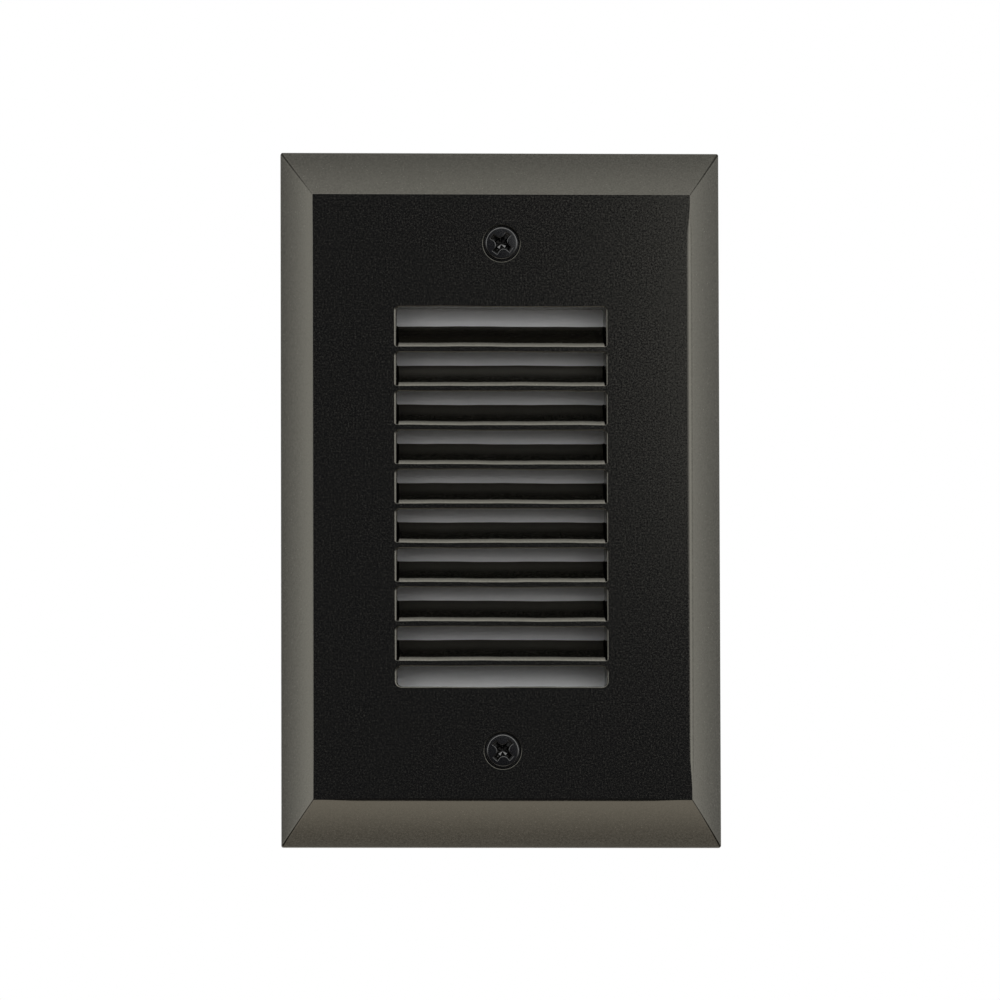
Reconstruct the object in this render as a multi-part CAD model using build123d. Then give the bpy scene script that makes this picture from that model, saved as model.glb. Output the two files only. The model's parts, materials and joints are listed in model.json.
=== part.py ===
from build123d import *

import math
import os

# A recessed step light for a wall box: a bevelled, louvred cast faceplate in front,
# a sealed tub with the LED and its driver behind it, and two screws that hold the
# whole light to the box. Millimetres. X is to the right as one faces the light,
# Y goes into the wall, Z is up, and the origin is the middle of the wall's surface.

# ---------------------------------------------------------------- faceplate
PLATE_WIDTH = 72.0
PLATE_HEIGHT = 114.3
SIDE_BEVEL = 5.0            # width of the left and right bevels, seen from the front
END_BEVEL = 7.4             # height of the top and bottom bevels
BEVEL_RISE = 5.5            # how far the flat face stands out from the bevels' outer edge
LIP_HEIGHT = 1.5            # plain upright edge below the bevels
FACE_WALL = 2.4
BEVEL_WALL = 2.2            # measured square to the bevel

# ---------------------------------------------------------------- louvre
WINDOW_WIDTH = 35.0
WINDOW_HEIGHT = 62.4
BLADE_COUNT = 9
BLADE_PITCH = 6.45
LOWEST_BLADE_GAP = 3.12     # open height of the bottom slot, which has no blade in front of it
BLADE_LAND = 1.15           # height of a blade's front edge
BLADE_RISE = 3.78           # how much higher a blade's back edge is than its front edge
BLADE_DEPTH = 4.2
BLADE_TAIL = 0.95           # upright thickness at the back edge
LIP_RADIUS = 0.6
SLOT_CORNER = 0.6           # cast corner under each blade's end
GRILLE_DEPTH = 4.6          # from the face to the seat of the lens gasket
SEAT_WIDTH = 2.0            # land of that seat, round the window

# ---------------------------------------------------------------- face screws
BOX_SPACING = 83.34         # between the two threaded ears of the wall box
SCREW_LENGTH = 19.05        # under the head
SCREW_THREAD_RADIUS = 1.75
SCREW_NECK_RADIUS = 1.5     # plain neck, so that the screw turns freely in the plate
SCREW_HEAD_RADIUS = 2.65
SCREW_HEAD_HEIGHT = 1.0
SCREW_CROWN = 0.55          # dome above the head's edge
THREAD_START = 0.3          # where the thread begins, behind the wall's surface
RECESS_SPAN = 3.7
RECESS_WING = 0.95
RECESS_DEPTH = 1.6
RECESS_BOTTOM = 0.45        # size of the recess at its bottom, as a share of its mouth
RECESS_TURN = {"upper": 10.0, "lower": 3.0}
COUNTERBORE_RADIUS = 3.0
COUNTERBORE_DEPTH = 1.0
SCREW_HOLE_RADIUS = 2.0
SCREW_BOSS_RADIUS = 3.8
SCREW_WASHER_THICKNESS = 0.4
SCREW_WASHER_GAP = 0.2      # between the washer's edge and the counterbore
SCREW_NECK_GAP = 0.1        # between the neck and the washer's hole

# ---------------------------------------------------------------- seals and lens
WALL_GASKET_THICKNESS = 1.6
WALL_GASKET_INSET = 1.0     # how far it stays back from the plate's edge
WALL_GASKET_GAP = 1.7       # round the tub
GASKET_HOLE_RADIUS = 2.4
LENS_GASKET_THICKNESS = 0.8
LENS_GASKET_INSET = 0.2
LENS_THICKNESS = 2.0
LENS_OVERLAP = 2.7          # how far the lens reaches past the window, sideways
LENS_END_OVERLAP = 2.3      # and up and down
LENS_CORNER = 2.0

# ---------------------------------------------------------------- housing
POCKET_GAP = 0.3            # round the lens and the plates that stack behind it
TUB_WALL = 1.8
TUB_CORNER = 2.2            # inside
TUB_DEPTH = 25.0            # from the wall's surface to the back of the tub
TUB_EDGE = 1.2              # bevel round its back
FLANGE_THICKNESS = 2.0
FLANGE_END = 1.8            # how far the flange stands out from the tub, up and down
FLANGE_CORNER = 4.0
SEAL_THICKNESS = 1.3
SEAL_WIDTH = 1.6
SEAL_INSET = 0.8            # from the pocket's wall to the seal's groove
SEAL_GROOVE = 1.0
HOUSING_SCREW_INSET = 7.4   # from the flange's end to the screws
HOUSING_SCREW_RADIUS = 1.25
HOUSING_SCREW_HEAD = 2.0    # from the middle to a corner, as for each hexagon head
HOUSING_HEAD_HEIGHT = 1.1
HOUSING_SCREW_LENGTH = 4.0
HEAD_GAP = 0.2              # round a head in its counterbore
HOUSING_BOSS_SIZE = 4.4
SMALL_SIDES = 12            # sides of the small hidden screws' shanks and of their holes
SCREW_GAP = 0.15            # between any small screw and its clearance hole
THREAD_GAP = 0.05           # between any small screw and the hole it bites in
POST_SIZE = 6.0             # corner posts that carry the heat sink

# ---------------------------------------------------------------- light engine
REFLECTOR_DEPTH = 9.0
REFLECTOR_WALL = 1.2
REFLECTOR_MOUTH_INSET = 0.3
REFLECTOR_TAPER = 4.0       # how much nearer its throat's side is to the middle than the window's
REFLECTOR_END_TAPER = 4.7   # and its throat's end
BOARD_THICKNESS = 1.6
PAD_THICKNESS = 0.5
SINK_THICKNESS = 2.0
STACK_STEP = 0.4            # each board and pad is this much smaller than the plate behind it
STACK_CORNER = 2.0          # cut off each corner, which clears the pocket's rounded corners
LED_COLUMNS = 2
LED_ROWS = 6
LED_COLUMN_PITCH = 12.0
LED_ROW_PITCH = 9.0
LED_WIDTH = 2.8
LED_LENGTH = 3.5
LED_HEIGHT = 0.8
BOARD_SCREW_INSET = 2.7     # from the heat sink's edges to the screws
BOARD_SCREW_RADIUS = 1.2
BOARD_SCREW_HEAD = 2.2
BOARD_SCREW_HEAD_HEIGHT = 1.5
BOARD_SCREW_LENGTH = 8.0
INSULATOR_THICKNESS = 0.4
INSULATOR_GAP = 1.4         # from the corner posts to the sheet
INSULATOR_END_INSET = 4.5   # from the heat sink's end to the sheet's
LEAD_X = 3.0
LEAD_RADIUS = 0.6
LEAD_INSET = 2.5            # from the driver board's lower edge to the leads
LEAD_WINDOW_GAP = 1.0       # between the leads and the window they pass through

# ---------------------------------------------------------------- driver
DRIVER_WIDTH = 36.0
DRIVER_HEIGHT = 43.0
DRIVER_GAP = 0.7            # from the upper corner posts to the driver board
DRIVER_POST_HEIGHT = 1.0
DRIVER_POST_RADIUS = 2.4
DRIVER_SCREW_INSET = 3.0
DRIVER_SCREW_RADIUS = 1.0
DRIVER_SCREW_HEAD = 1.8
DRIVER_SCREW_HEAD_HEIGHT = 1.3
DRIVER_SCREW_LENGTH = 3.4
DRIVER_COLUMN = 9.0         # from the board's middle to the tall parts at each side
INDUCTOR_SIZE = 8.0
INDUCTOR_HEIGHT = 6.5
INDUCTOR_FLANGE = 1.2
INDUCTOR_SHANK = 1.8
WINDING_DEPTH = 1.5
CAPACITOR_RADIUS = 3.15
CAPACITOR_LENGTH = 12.0
FILM_SIZE = (10.0, 6.5, 4.0)
VARISTOR_RADIUS = 3.0
VARISTOR_THICKNESS = 3.2
VARISTOR_LEG = 0.6
RESISTOR_RADIUS = 1.6
RESISTOR_LENGTH = 9.0
RESISTOR_LEAD = 0.6
RESISTOR_REACH = 1.5        # of each lead, past the body's end
BRIDGE_SIZE = (4.7, 1.5, 6.4)
CHIP_SIZE = (4.9, 1.5, 3.9)
TERMINAL_SIZE = (10.0, 6.8, 7.5)
SMD_RESISTOR = (2.0, 0.5, 1.25)
SMD_CAPACITOR = (1.25, 0.9, 2.0)
SMD_GAP = 1.0
LEG_SHARE = 0.4             # width of a chip's leg, as a share of the legs' pitch
LEG_THICKNESS = 0.2
LEG_REACH = 1.0

# ---------------------------------------------------------------- cable entry and ground
GROMMET_Z = -26.0
GROMMET_BORE = 3.0
GROMMET_NECK = 4.2
GROMMET_COLLAR = 5.6
GROMMET_COLLAR_THICKNESS = 1.4
GROUND_X = 12.0
GROUND_SCREW_RADIUS = 1.75
GROUND_HEAD_RADIUS = 3.4
GROUND_HEAD_HEIGHT = 2.4
GROUND_SCREW_LENGTH = 5.0
GROUND_WASHER_RADIUS = 3.8
GROUND_WASHER_THICKNESS = 0.8
GROUND_BOSS_RADIUS = 3.8
GROUND_BOSS_HEIGHT = 4.4

# ---------------------------------------------------------------- depths, worked out from the above
RIM_Y = -WALL_GASKET_THICKNESS
BEVEL_Y = RIM_Y - LIP_HEIGHT
FACE_Y = BEVEL_Y - BEVEL_RISE
INNER_Y = FACE_Y + FACE_WALL
SEAT_Y = FACE_Y + GRILLE_DEPTH
LENS_Y = SEAT_Y + LENS_GASKET_THICKNESS
REFLECTOR_Y = LENS_Y + LENS_THICKNESS
BOARD_Y = REFLECTOR_Y + REFLECTOR_DEPTH
PAD_Y = BOARD_Y + BOARD_THICKNESS
SINK_Y = PAD_Y + PAD_THICKNESS
SINK_BACK_Y = SINK_Y + SINK_THICKNESS
FLANGE_Y = RIM_Y - FLANGE_THICKNESS
HOUSING_SEAT_Y = RIM_Y - HOUSING_HEAD_HEIGHT
FLOOR_Y = TUB_DEPTH - TUB_WALL
DRIVER_BACK_Y = FLOOR_Y - DRIVER_POST_HEIGHT
DRIVER_Y = DRIVER_BACK_Y - BOARD_THICKNESS
SEAL_Y = FLANGE_Y + SEAL_GROOVE - SEAL_THICKNESS
WASHER_Y = FACE_Y + COUNTERBORE_DEPTH - SCREW_WASHER_THICKNESS

# ---------------------------------------------------------------- widths and heights
FACE_WIDTH = PLATE_WIDTH - 2 * SIDE_BEVEL
FACE_HEIGHT = PLATE_HEIGHT - 2 * END_BEVEL
LENS_WIDTH = WINDOW_WIDTH + 2 * LENS_OVERLAP
LENS_HEIGHT = WINDOW_HEIGHT + 2 * LENS_END_OVERLAP
POCKET_WIDTH = LENS_WIDTH + 2 * POCKET_GAP
POCKET_HEIGHT = LENS_HEIGHT + 2 * POCKET_GAP
TUB_WIDTH = POCKET_WIDTH + 2 * TUB_WALL
TUB_HEIGHT = POCKET_HEIGHT + 2 * TUB_WALL
GROOVE_WIDTH = POCKET_WIDTH + 2 * SEAL_INSET
GROOVE_HEIGHT = POCKET_HEIGHT + 2 * SEAL_INSET
SCREW_Z = BOX_SPACING / 2
SINK_WIDTH = LENS_WIDTH
SINK_HEIGHT = LENS_HEIGHT
FLANGE_WIDTH = FACE_WIDTH
FLANGE_HEIGHT = TUB_HEIGHT + 2 * FLANGE_END
POST_INNER_X = (POCKET_WIDTH + TUB_WALL) / 2 - POST_SIZE
POST_INNER_Z = (POCKET_HEIGHT + TUB_WALL) / 2 - POST_SIZE
HOUSING_SCREW_X = (GROOVE_WIDTH / 2 + SEAL_WIDTH + FLANGE_WIDTH / 2) / 2
HOUSING_SCREW_Z = FLANGE_HEIGHT / 2 - HOUSING_SCREW_INSET
BOARD_SCREW_X = SINK_WIDTH / 2 - BOARD_SCREW_INSET
BOARD_SCREW_Z = SINK_HEIGHT / 2 - BOARD_SCREW_INSET
DRIVER_Z = POST_INNER_Z - DRIVER_GAP - DRIVER_HEIGHT / 2
FACE_SCREWS = [(0, SCREW_Z), (0, -SCREW_Z)]
HOUSING_SCREWS = [(x * HOUSING_SCREW_X, z * HOUSING_SCREW_Z) for x in (-1, 1) for z in (-1, 1)]
BOARD_SCREWS = [(x * BOARD_SCREW_X, z * BOARD_SCREW_Z) for x in (-1, 1) for z in (-1, 1)]
DRIVER_POST_X = DRIVER_WIDTH / 2 - DRIVER_SCREW_INSET
DRIVER_POST_Z = DRIVER_HEIGHT / 2 - DRIVER_SCREW_INSET
DRIVER_SCREWS = [(x * DRIVER_POST_X, DRIVER_Z + z * DRIVER_POST_Z) for x in (-1, 1) for z in (-1, 1)]
LEAD_Z = DRIVER_Z - DRIVER_HEIGHT / 2 + LEAD_INSET


# ---------------------------------------------------------------- helpers
def at(y):
    """The upright plane at depth y, seen from the front: its own x is X and its own y is Z."""
    return Plane.XZ.offset(-y)


def prism(outline, front, back):
    """An outline drawn in X and Z, made solid between two depths."""
    return extrude(at(back) * outline, back - front)


def two_views(top_view, side_view):
    """The solid with one outline from above, in X and Y, and another from the side, in Z and Y."""
    width = max(abs(x) for x, _ in top_view) * 2
    height = max(abs(z) for z, _ in side_view) * 2
    across = extrude(Plane.XY.offset(-height / 2) * make_face(Polyline(*top_view, close=True)), height)
    side = Plane(origin=(-width / 2, 0, 0), x_dir=(0, 0, 1), z_dir=(-1, 0, 0))
    along = extrude(side * make_face(Polyline(*side_view, close=True)), -width)
    return across & along


def flared(front_size, front, back_size, back, tail=0.0):
    """A block whose width and height change evenly between two depths, with a straight tail behind."""
    views = []
    for near, far in zip(front_size, back_size):
        view = [(-near / 2, front), (near / 2, front), (far / 2, back)]
        if tail:
            view += [(far / 2, back + tail), (-far / 2, back + tail)]
        views.append(view + [(-far / 2, back)])
    return two_views(*views)


def disc(radius, front, back, x=0.0, z=0.0):
    """A round bar along Y, used both for pins and for the holes they go in."""
    return prism(Pos(x, z) * Circle(radius), front, back)


def discs(radius, front, back, places):
    """The same round bar at several places."""
    return [disc(radius, front, back, x, z) for x, z in places]


def shank(radius, front, back, x, z):
    """A small hidden screw's shank, or its hole: a bar along Y with a few flat sides."""
    return prism(Pos(x, z) * RegularPolygon(radius, SMALL_SIDES), front, back)


def shanks(radius, front, back, places):
    """The same small bar at several places."""
    return [shank(radius, front, back, x, z) for x, z in places]


def block(size, front, x=0.0, z=0.0):
    """A plain block (width, depth, height) whose front is at a given depth."""
    width, depth, height = size
    return Pos(x, front + depth / 2, z) * Box(width, depth, height)


def turned(half_section, x=0.0, z=0.0):
    """A turned piece: its half section, in radius and depth, spun about a line along Y."""
    return Pos(x, 0, z) * revolve(make_face(half_section), Axis.Y)


def recess(span, wing, crown, depth, turn):
    """A cross recess: two crossed wings that narrow from the crown of the head towards the bottom."""
    bottom = (span * RECESS_BOTTOM, wing * RECESS_BOTTOM)
    narrowing = flared((span, wing), crown, bottom, crown + depth)
    mouth = block((span, depth, wing), crown - depth)
    return [Rot(0, 45 + turn + quarter, 0) * (narrowing + mouth) for quarter in (0, 90)]


def hex_screw(radius, head_radius, head_height, seat, length, x, z, facing=1):
    """A hexagon-headed screw: the head stands on the depth `seat`, the shank goes `facing` along Y."""
    head = prism(Pos(x, z) * RegularPolygon(head_radius, 6), *sorted((seat - facing * head_height, seat)))
    return head + shank(radius, *sorted((seat, seat + facing * length)), x, z)


# ---------------------------------------------------------------- faceplate
def blade_section(front_z):
    """One louvre blade from the side, in depth and height: a rounded lip, then a rake up and back."""
    back = FACE_Y + BLADE_DEPTH
    section = make_face(
        Polyline(
            (FACE_Y, front_z),
            (FACE_Y, front_z + BLADE_LAND),
            (back, front_z + BLADE_LAND + BLADE_RISE),
            (back, front_z + BLADE_LAND + BLADE_RISE - BLADE_TAIL),
            close=True,
        )
    )
    lip = section.vertices().sort_by(Axis.X)[:2].sort_by(Axis.Y)[-1]
    return fillet(lip, LIP_RADIUS)


def blade_places():
    """Height of each blade's lower front edge, from the lowest blade up."""
    first = -WINDOW_HEIGHT / 2 + LOWEST_BLADE_GAP
    return [first + i * BLADE_PITCH for i in range(BLADE_COUNT)]


def make_louvre():
    """The raked blades, each as long as the window is wide and rooted in its side walls."""
    root = SEAT_WIDTH / 4
    length = WINDOW_WIDTH + 2 * root
    side_view = Plane(origin=(-length / 2, 0, 0), x_dir=(0, 1, 0), z_dir=(1, 0, 0))
    return [extrude(side_view * blade_section(z), length) for z in blade_places()]


def make_faceplate():
    plate = flared((FACE_WIDTH, FACE_HEIGHT), FACE_Y, (PLATE_WIDTH, PLATE_HEIGHT), BEVEL_Y, LIP_HEIGHT)

    # The hollow follows the bevels, so that the wall has one thickness all round.
    side_shift = BEVEL_WALL * math.hypot(SIDE_BEVEL, BEVEL_RISE) / BEVEL_RISE
    end_shift = BEVEL_WALL * math.hypot(END_BEVEL, BEVEL_RISE) / BEVEL_RISE
    share = FACE_WALL / BEVEL_RISE
    shallow = (
        FACE_WIDTH + 2 * (share * SIDE_BEVEL - side_shift),
        FACE_HEIGHT + 2 * (share * END_BEVEL - end_shift),
    )
    mouth = (PLATE_WIDTH - 2 * side_shift, PLATE_HEIGHT - 2 * end_shift)
    plate -= flared(shallow, INNER_Y, mouth, BEVEL_Y, LIP_HEIGHT)

    # Walls and bosses inside: the lens seat, the rib that presses the seal, and the screws' bosses.
    window = Rectangle(WINDOW_WIDTH, WINDOW_HEIGHT)
    plate += prism(Rectangle(WINDOW_WIDTH + 2 * SEAT_WIDTH, WINDOW_HEIGHT + 2 * SEAT_WIDTH), INNER_Y, SEAT_Y)
    plate += prism(seal_outline(), INNER_Y, SEAL_Y)
    boss = (HOUSING_BOSS_SIZE, FLANGE_Y - INNER_Y, HOUSING_BOSS_SIZE)
    plate += [block(boss, INNER_Y, x, z) for x, z in HOUSING_SCREWS]
    plate += discs(SCREW_BOSS_RADIUS, INNER_Y, RIM_Y, FACE_SCREWS)

    plate -= prism(window, FACE_Y, SEAT_Y)
    plate += make_louvre()
    plate = round_slot_corners(plate)
    plate -= discs(COUNTERBORE_RADIUS, FACE_Y, FACE_Y + COUNTERBORE_DEPTH, FACE_SCREWS)
    plate -= discs(SCREW_HOLE_RADIUS, FACE_Y, RIM_Y, FACE_SCREWS)
    pilot = HOUSING_SEAT_Y - HOUSING_SCREW_LENGTH - THREAD_GAP
    plate -= shanks(HOUSING_SCREW_RADIUS + THREAD_GAP, pilot, FLANGE_Y, HOUSING_SCREWS)
    return plate


def round_slot_corners(plate):
    """Round the corner where each blade's underside meets the window's side walls."""
    slope_y = BLADE_DEPTH
    slope_z = BLADE_LAND + BLADE_RISE - BLADE_TAIL
    corners = []
    for edge in plate.edges().filter_by(GeomType.LINE):
        start, end = sorted((edge @ 0, edge @ 1), key=lambda point: point.Y)
        along = end - start
        on_wall = all(abs(abs(point.X) - WINDOW_WIDTH / 2) < 0.01 for point in (start, end))
        raked = abs(along.Y - slope_y) < 0.01 and abs(along.Z - slope_z) < 0.01
        if on_wall and raked:
            corners.append(edge)
    return fillet(corners, SLOT_CORNER)


# ---------------------------------------------------------------- screws through the face
def make_face_screw(name):
    z = SCREW_Z if name == "upper" else -SCREW_Z
    seat = WASHER_Y
    rim = seat - SCREW_HEAD_HEIGHT
    tip = seat + SCREW_LENGTH
    crown = rim - SCREW_CROWN
    # The crown is a cap of a sphere: its radius follows from its width and its rise.
    sphere = (SCREW_HEAD_RADIUS**2 + SCREW_CROWN**2) / (2 * SCREW_CROWN)
    halfway = SCREW_HEAD_RADIUS / 2
    half_section = [
        ThreePointArc(
            (0, crown),
            (halfway, crown + sphere - math.sqrt(sphere**2 - halfway**2)),
            (SCREW_HEAD_RADIUS, rim),
        ),
        Polyline(
            (SCREW_HEAD_RADIUS, rim),
            (SCREW_HEAD_RADIUS, seat),
            (SCREW_NECK_RADIUS, seat),
            (SCREW_NECK_RADIUS, THREAD_START),
            (SCREW_THREAD_RADIUS, THREAD_START),
            (SCREW_THREAD_RADIUS, tip),
            (0, tip),
            (0, crown),
        ),
    ]
    screw = turned(half_section, 0, z)
    cut = recess(RECESS_SPAN, RECESS_WING, crown, RECESS_DEPTH, RECESS_TURN[name])
    return screw - [Pos(0, 0, z) * wing for wing in cut]


def make_face_screw_washer(name):
    z = SCREW_Z if name == "upper" else -SCREW_Z
    ring = Circle(COUNTERBORE_RADIUS - SCREW_WASHER_GAP) - Circle(SCREW_NECK_RADIUS + SCREW_NECK_GAP)
    return Pos(0, 0, z) * prism(ring, WASHER_Y, WASHER_Y + SCREW_WASHER_THICKNESS)


# ---------------------------------------------------------------- seals and lens
def make_wall_gasket():
    outer = Rectangle(PLATE_WIDTH - 2 * WALL_GASKET_INSET, PLATE_HEIGHT - 2 * WALL_GASKET_INSET)
    opening = RectangleRounded(
        TUB_WIDTH + 2 * WALL_GASKET_GAP,
        TUB_HEIGHT + 2 * WALL_GASKET_GAP,
        TUB_CORNER + TUB_WALL,
    )
    gasket = prism(outer - opening, RIM_Y, 0)
    return gasket - discs(GASKET_HOLE_RADIUS, RIM_Y, 0, FACE_SCREWS)


def make_lens_gasket():
    inner = Rectangle(WINDOW_WIDTH + 2 * LENS_GASKET_INSET, WINDOW_HEIGHT + 2 * LENS_GASKET_INSET)
    reach = 2 * (SEAT_WIDTH - LENS_GASKET_INSET)
    outer = RectangleRounded(WINDOW_WIDTH + reach, WINDOW_HEIGHT + reach, LENS_CORNER / 2)
    return prism(outer - inner, SEAT_Y, LENS_Y)


def make_lens():
    return prism(RectangleRounded(LENS_WIDTH, LENS_HEIGHT, LENS_CORNER), LENS_Y, REFLECTOR_Y)


def seal_outline():
    """The ring of the housing seal, from the front: in its groove it runs round the lens pocket."""
    outer = RectangleRounded(
        GROOVE_WIDTH + 2 * SEAL_WIDTH,
        GROOVE_HEIGHT + 2 * SEAL_WIDTH,
        TUB_CORNER + SEAL_INSET + SEAL_WIDTH,
    )
    return outer - RectangleRounded(GROOVE_WIDTH, GROOVE_HEIGHT, TUB_CORNER + SEAL_INSET)


def make_housing_seal():
    return prism(seal_outline(), SEAL_Y, SEAL_Y + SEAL_THICKNESS)


# ---------------------------------------------------------------- housing
def make_rear_housing():
    """A tub with a flange that is as wide as the flat face in front of it."""
    flange = RectangleRounded(FLANGE_WIDTH, FLANGE_HEIGHT, FLANGE_CORNER)
    outside = RectangleRounded(TUB_WIDTH, TUB_HEIGHT, TUB_CORNER + TUB_WALL)
    inside = RectangleRounded(POCKET_WIDTH, POCKET_HEIGHT, TUB_CORNER)
    tub = prism(outside, RIM_Y, TUB_DEPTH)
    tub = chamfer(tub.faces().sort_by(Axis.Y)[-1].edges(), TUB_EDGE)
    housing = prism(flange, FLANGE_Y, RIM_Y) + tub
    housing -= prism(inside, FLANGE_Y, FLOOR_Y)

    # Corner posts for the heat sink, low posts for the driver, and a blind boss for the ground screw.
    rooted = FLOOR_Y + TUB_WALL / 2
    post_x = POST_INNER_X + POST_SIZE / 2
    post_z = POST_INNER_Z + POST_SIZE / 2
    post = (POST_SIZE, rooted - SINK_BACK_Y, POST_SIZE)
    housing += [block(post, SINK_BACK_Y, x * post_x, z * post_z) for x in (-1, 1) for z in (-1, 1)]
    rest = (2 * DRIVER_POST_RADIUS, rooted - DRIVER_BACK_Y, 2 * DRIVER_POST_RADIUS)
    housing += [block(rest, DRIVER_BACK_Y, x, z) for x, z in DRIVER_SCREWS]
    ground = (GROUND_X, GROMMET_Z)
    boss = (2 * GROUND_BOSS_RADIUS, GROUND_BOSS_HEIGHT, 2 * GROUND_BOSS_RADIUS)
    housing += block(boss, FLOOR_Y - GROUND_BOSS_HEIGHT, *ground)

    housing -= prism(seal_outline(), FLANGE_Y, FLANGE_Y + SEAL_GROOVE)
    housing -= shanks(HOUSING_SCREW_RADIUS + SCREW_GAP, FLANGE_Y, RIM_Y, HOUSING_SCREWS)
    housing -= shanks(HOUSING_SCREW_HEAD + HEAD_GAP, HOUSING_SEAT_Y, RIM_Y, HOUSING_SCREWS)
    bite = BOARD_SCREW_RADIUS + THREAD_GAP
    deepest = BOARD_Y + BOARD_SCREW_LENGTH + BOARD_SCREW_RADIUS
    housing -= shanks(bite, SINK_BACK_Y, deepest, BOARD_SCREWS)
    deepest = DRIVER_Y + DRIVER_SCREW_LENGTH + THREAD_GAP
    housing -= shanks(DRIVER_SCREW_RADIUS + THREAD_GAP, DRIVER_BACK_Y, deepest, DRIVER_SCREWS)
    tip = TUB_DEPTH + GROUND_WASHER_THICKNESS - GROUND_SCREW_LENGTH - THREAD_GAP
    housing -= shank(GROUND_SCREW_RADIUS + THREAD_GAP, tip, TUB_DEPTH, *ground)
    housing -= disc(GROMMET_NECK, FLOOR_Y, TUB_DEPTH, 0, GROMMET_Z)
    return housing


def make_housing_screws():
    """Screws from behind, flush with the flange, that bite into the faceplate's bosses."""
    head = (HOUSING_SCREW_RADIUS, HOUSING_SCREW_HEAD, HOUSING_HEAD_HEIGHT)
    return [hex_screw(*head, HOUSING_SEAT_Y, HOUSING_SCREW_LENGTH, x, z, -1) for x, z in HOUSING_SCREWS]


# ---------------------------------------------------------------- light engine
def make_reflector():
    """A tapered frame with a flat rim at the front, which carries the lens."""
    wall = 2 * REFLECTOR_WALL
    mouth = (WINDOW_WIDTH + 2 * REFLECTOR_MOUTH_INSET, WINDOW_HEIGHT + 2 * REFLECTOR_MOUTH_INSET)
    throat = (WINDOW_WIDTH - 2 * REFLECTOR_TAPER, WINDOW_HEIGHT - 2 * REFLECTOR_END_TAPER)
    outside = [size + wall for size in mouth]
    neck = [size + wall for size in throat]
    rim = RectangleRounded(LENS_WIDTH, LENS_HEIGHT, LENS_CORNER)
    frame = prism(rim, REFLECTOR_Y, REFLECTOR_Y + REFLECTOR_WALL)
    frame += flared(outside, REFLECTOR_Y, neck, BOARD_Y)
    return frame - flared(mouth, REFLECTOR_Y, throat, BOARD_Y)


def lead_window():
    """The opening that both LED leads pass through."""
    reach = 2 * (LEAD_RADIUS + LEAD_WINDOW_GAP)
    return Pos(0, LEAD_Z) * Rectangle(2 * LEAD_X + reach, reach)


def stack_outline(steps, corner=STACK_CORNER):
    """Outline of a flat layer behind the reflector, `steps` steps smaller than the heat sink."""
    inset = 2 * steps * STACK_STEP
    return chamfer(Rectangle(SINK_WIDTH - inset, SINK_HEIGHT - inset).vertices(), corner)


def make_led_board():
    board = prism(stack_outline(2), BOARD_Y, PAD_Y)
    return board - shanks(BOARD_SCREW_RADIUS + SCREW_GAP, BOARD_Y, PAD_Y, BOARD_SCREWS)


def make_thermal_pad():
    """A soft pad whose corners are cut off just far enough to clear the screws."""
    reach = SINK_WIDTH / 2 - STACK_STEP - BOARD_SCREW_X + SINK_HEIGHT / 2 - STACK_STEP - BOARD_SCREW_Z
    corner = reach + math.sqrt(2) * (BOARD_SCREW_RADIUS + SCREW_GAP)
    return prism(stack_outline(1, corner) - lead_window(), PAD_Y, SINK_Y)


def make_heat_sink_plate():
    plate = prism(stack_outline(0) - lead_window(), SINK_Y, SINK_BACK_Y)
    return plate - shanks(BOARD_SCREW_RADIUS + SCREW_GAP, SINK_Y, SINK_BACK_Y, BOARD_SCREWS)


def make_led_packages():
    """Side-by-side columns of LED packages."""
    places = [
        ((column - (LED_COLUMNS - 1) / 2) * LED_COLUMN_PITCH, (row - (LED_ROWS - 1) / 2) * LED_ROW_PITCH)
        for column in range(LED_COLUMNS)
        for row in range(LED_ROWS)
    ]
    return [block((LED_WIDTH, LED_HEIGHT, LED_LENGTH), BOARD_Y - LED_HEIGHT, x, z) for x, z in places]


def make_led_board_screws():
    head = (BOARD_SCREW_RADIUS, BOARD_SCREW_HEAD, BOARD_SCREW_HEAD_HEIGHT)
    return [hex_screw(*head, BOARD_Y, BOARD_SCREW_LENGTH, x, z) for x, z in BOARD_SCREWS]


def make_insulator_sheet():
    """A sheet between the corner posts that keeps the driver's parts off the heat sink."""
    sheet = Rectangle(2 * (POST_INNER_X - INSULATOR_GAP), SINK_HEIGHT - 2 * INSULATOR_END_INSET)
    return prism(sheet - lead_window(), SINK_BACK_Y, SINK_BACK_Y + INSULATOR_THICKNESS)


def make_led_lead(side):
    """A stiff lead from the driver board to the back of the LED board."""
    return disc(LEAD_RADIUS, PAD_Y, DRIVER_Y, side * LEAD_X, LEAD_Z)


# ---------------------------------------------------------------- driver
def make_driver_board():
    board = block((DRIVER_WIDTH, BOARD_THICKNESS, DRIVER_HEIGHT), DRIVER_Y, 0, DRIVER_Z)
    return board - shanks(DRIVER_SCREW_RADIUS + SCREW_GAP, DRIVER_Y, DRIVER_BACK_Y, DRIVER_SCREWS)


def make_driver_board_screws():
    head = (DRIVER_SCREW_RADIUS, DRIVER_SCREW_HEAD, DRIVER_SCREW_HEAD_HEIGHT)
    return [hex_screw(*head, DRIVER_Y, DRIVER_SCREW_LENGTH, x, z) for x, z in DRIVER_SCREWS]


def inductor_place():
    return -DRIVER_COLUMN, DRIVER_Z + DRIVER_HEIGHT / 4


def make_inductor_core():
    """A ferrite core: two square flanges on a round shank, standing on the board."""
    top = DRIVER_Y - INDUCTOR_HEIGHT
    place = inductor_place()
    flange = (INDUCTOR_SIZE, INDUCTOR_FLANGE, INDUCTOR_SIZE)
    core = block(flange, top, *place) + block(flange, DRIVER_Y - INDUCTOR_FLANGE, *place)
    return core + disc(INDUCTOR_SHANK, top + INDUCTOR_FLANGE, DRIVER_Y - INDUCTOR_FLANGE, *place)


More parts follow.
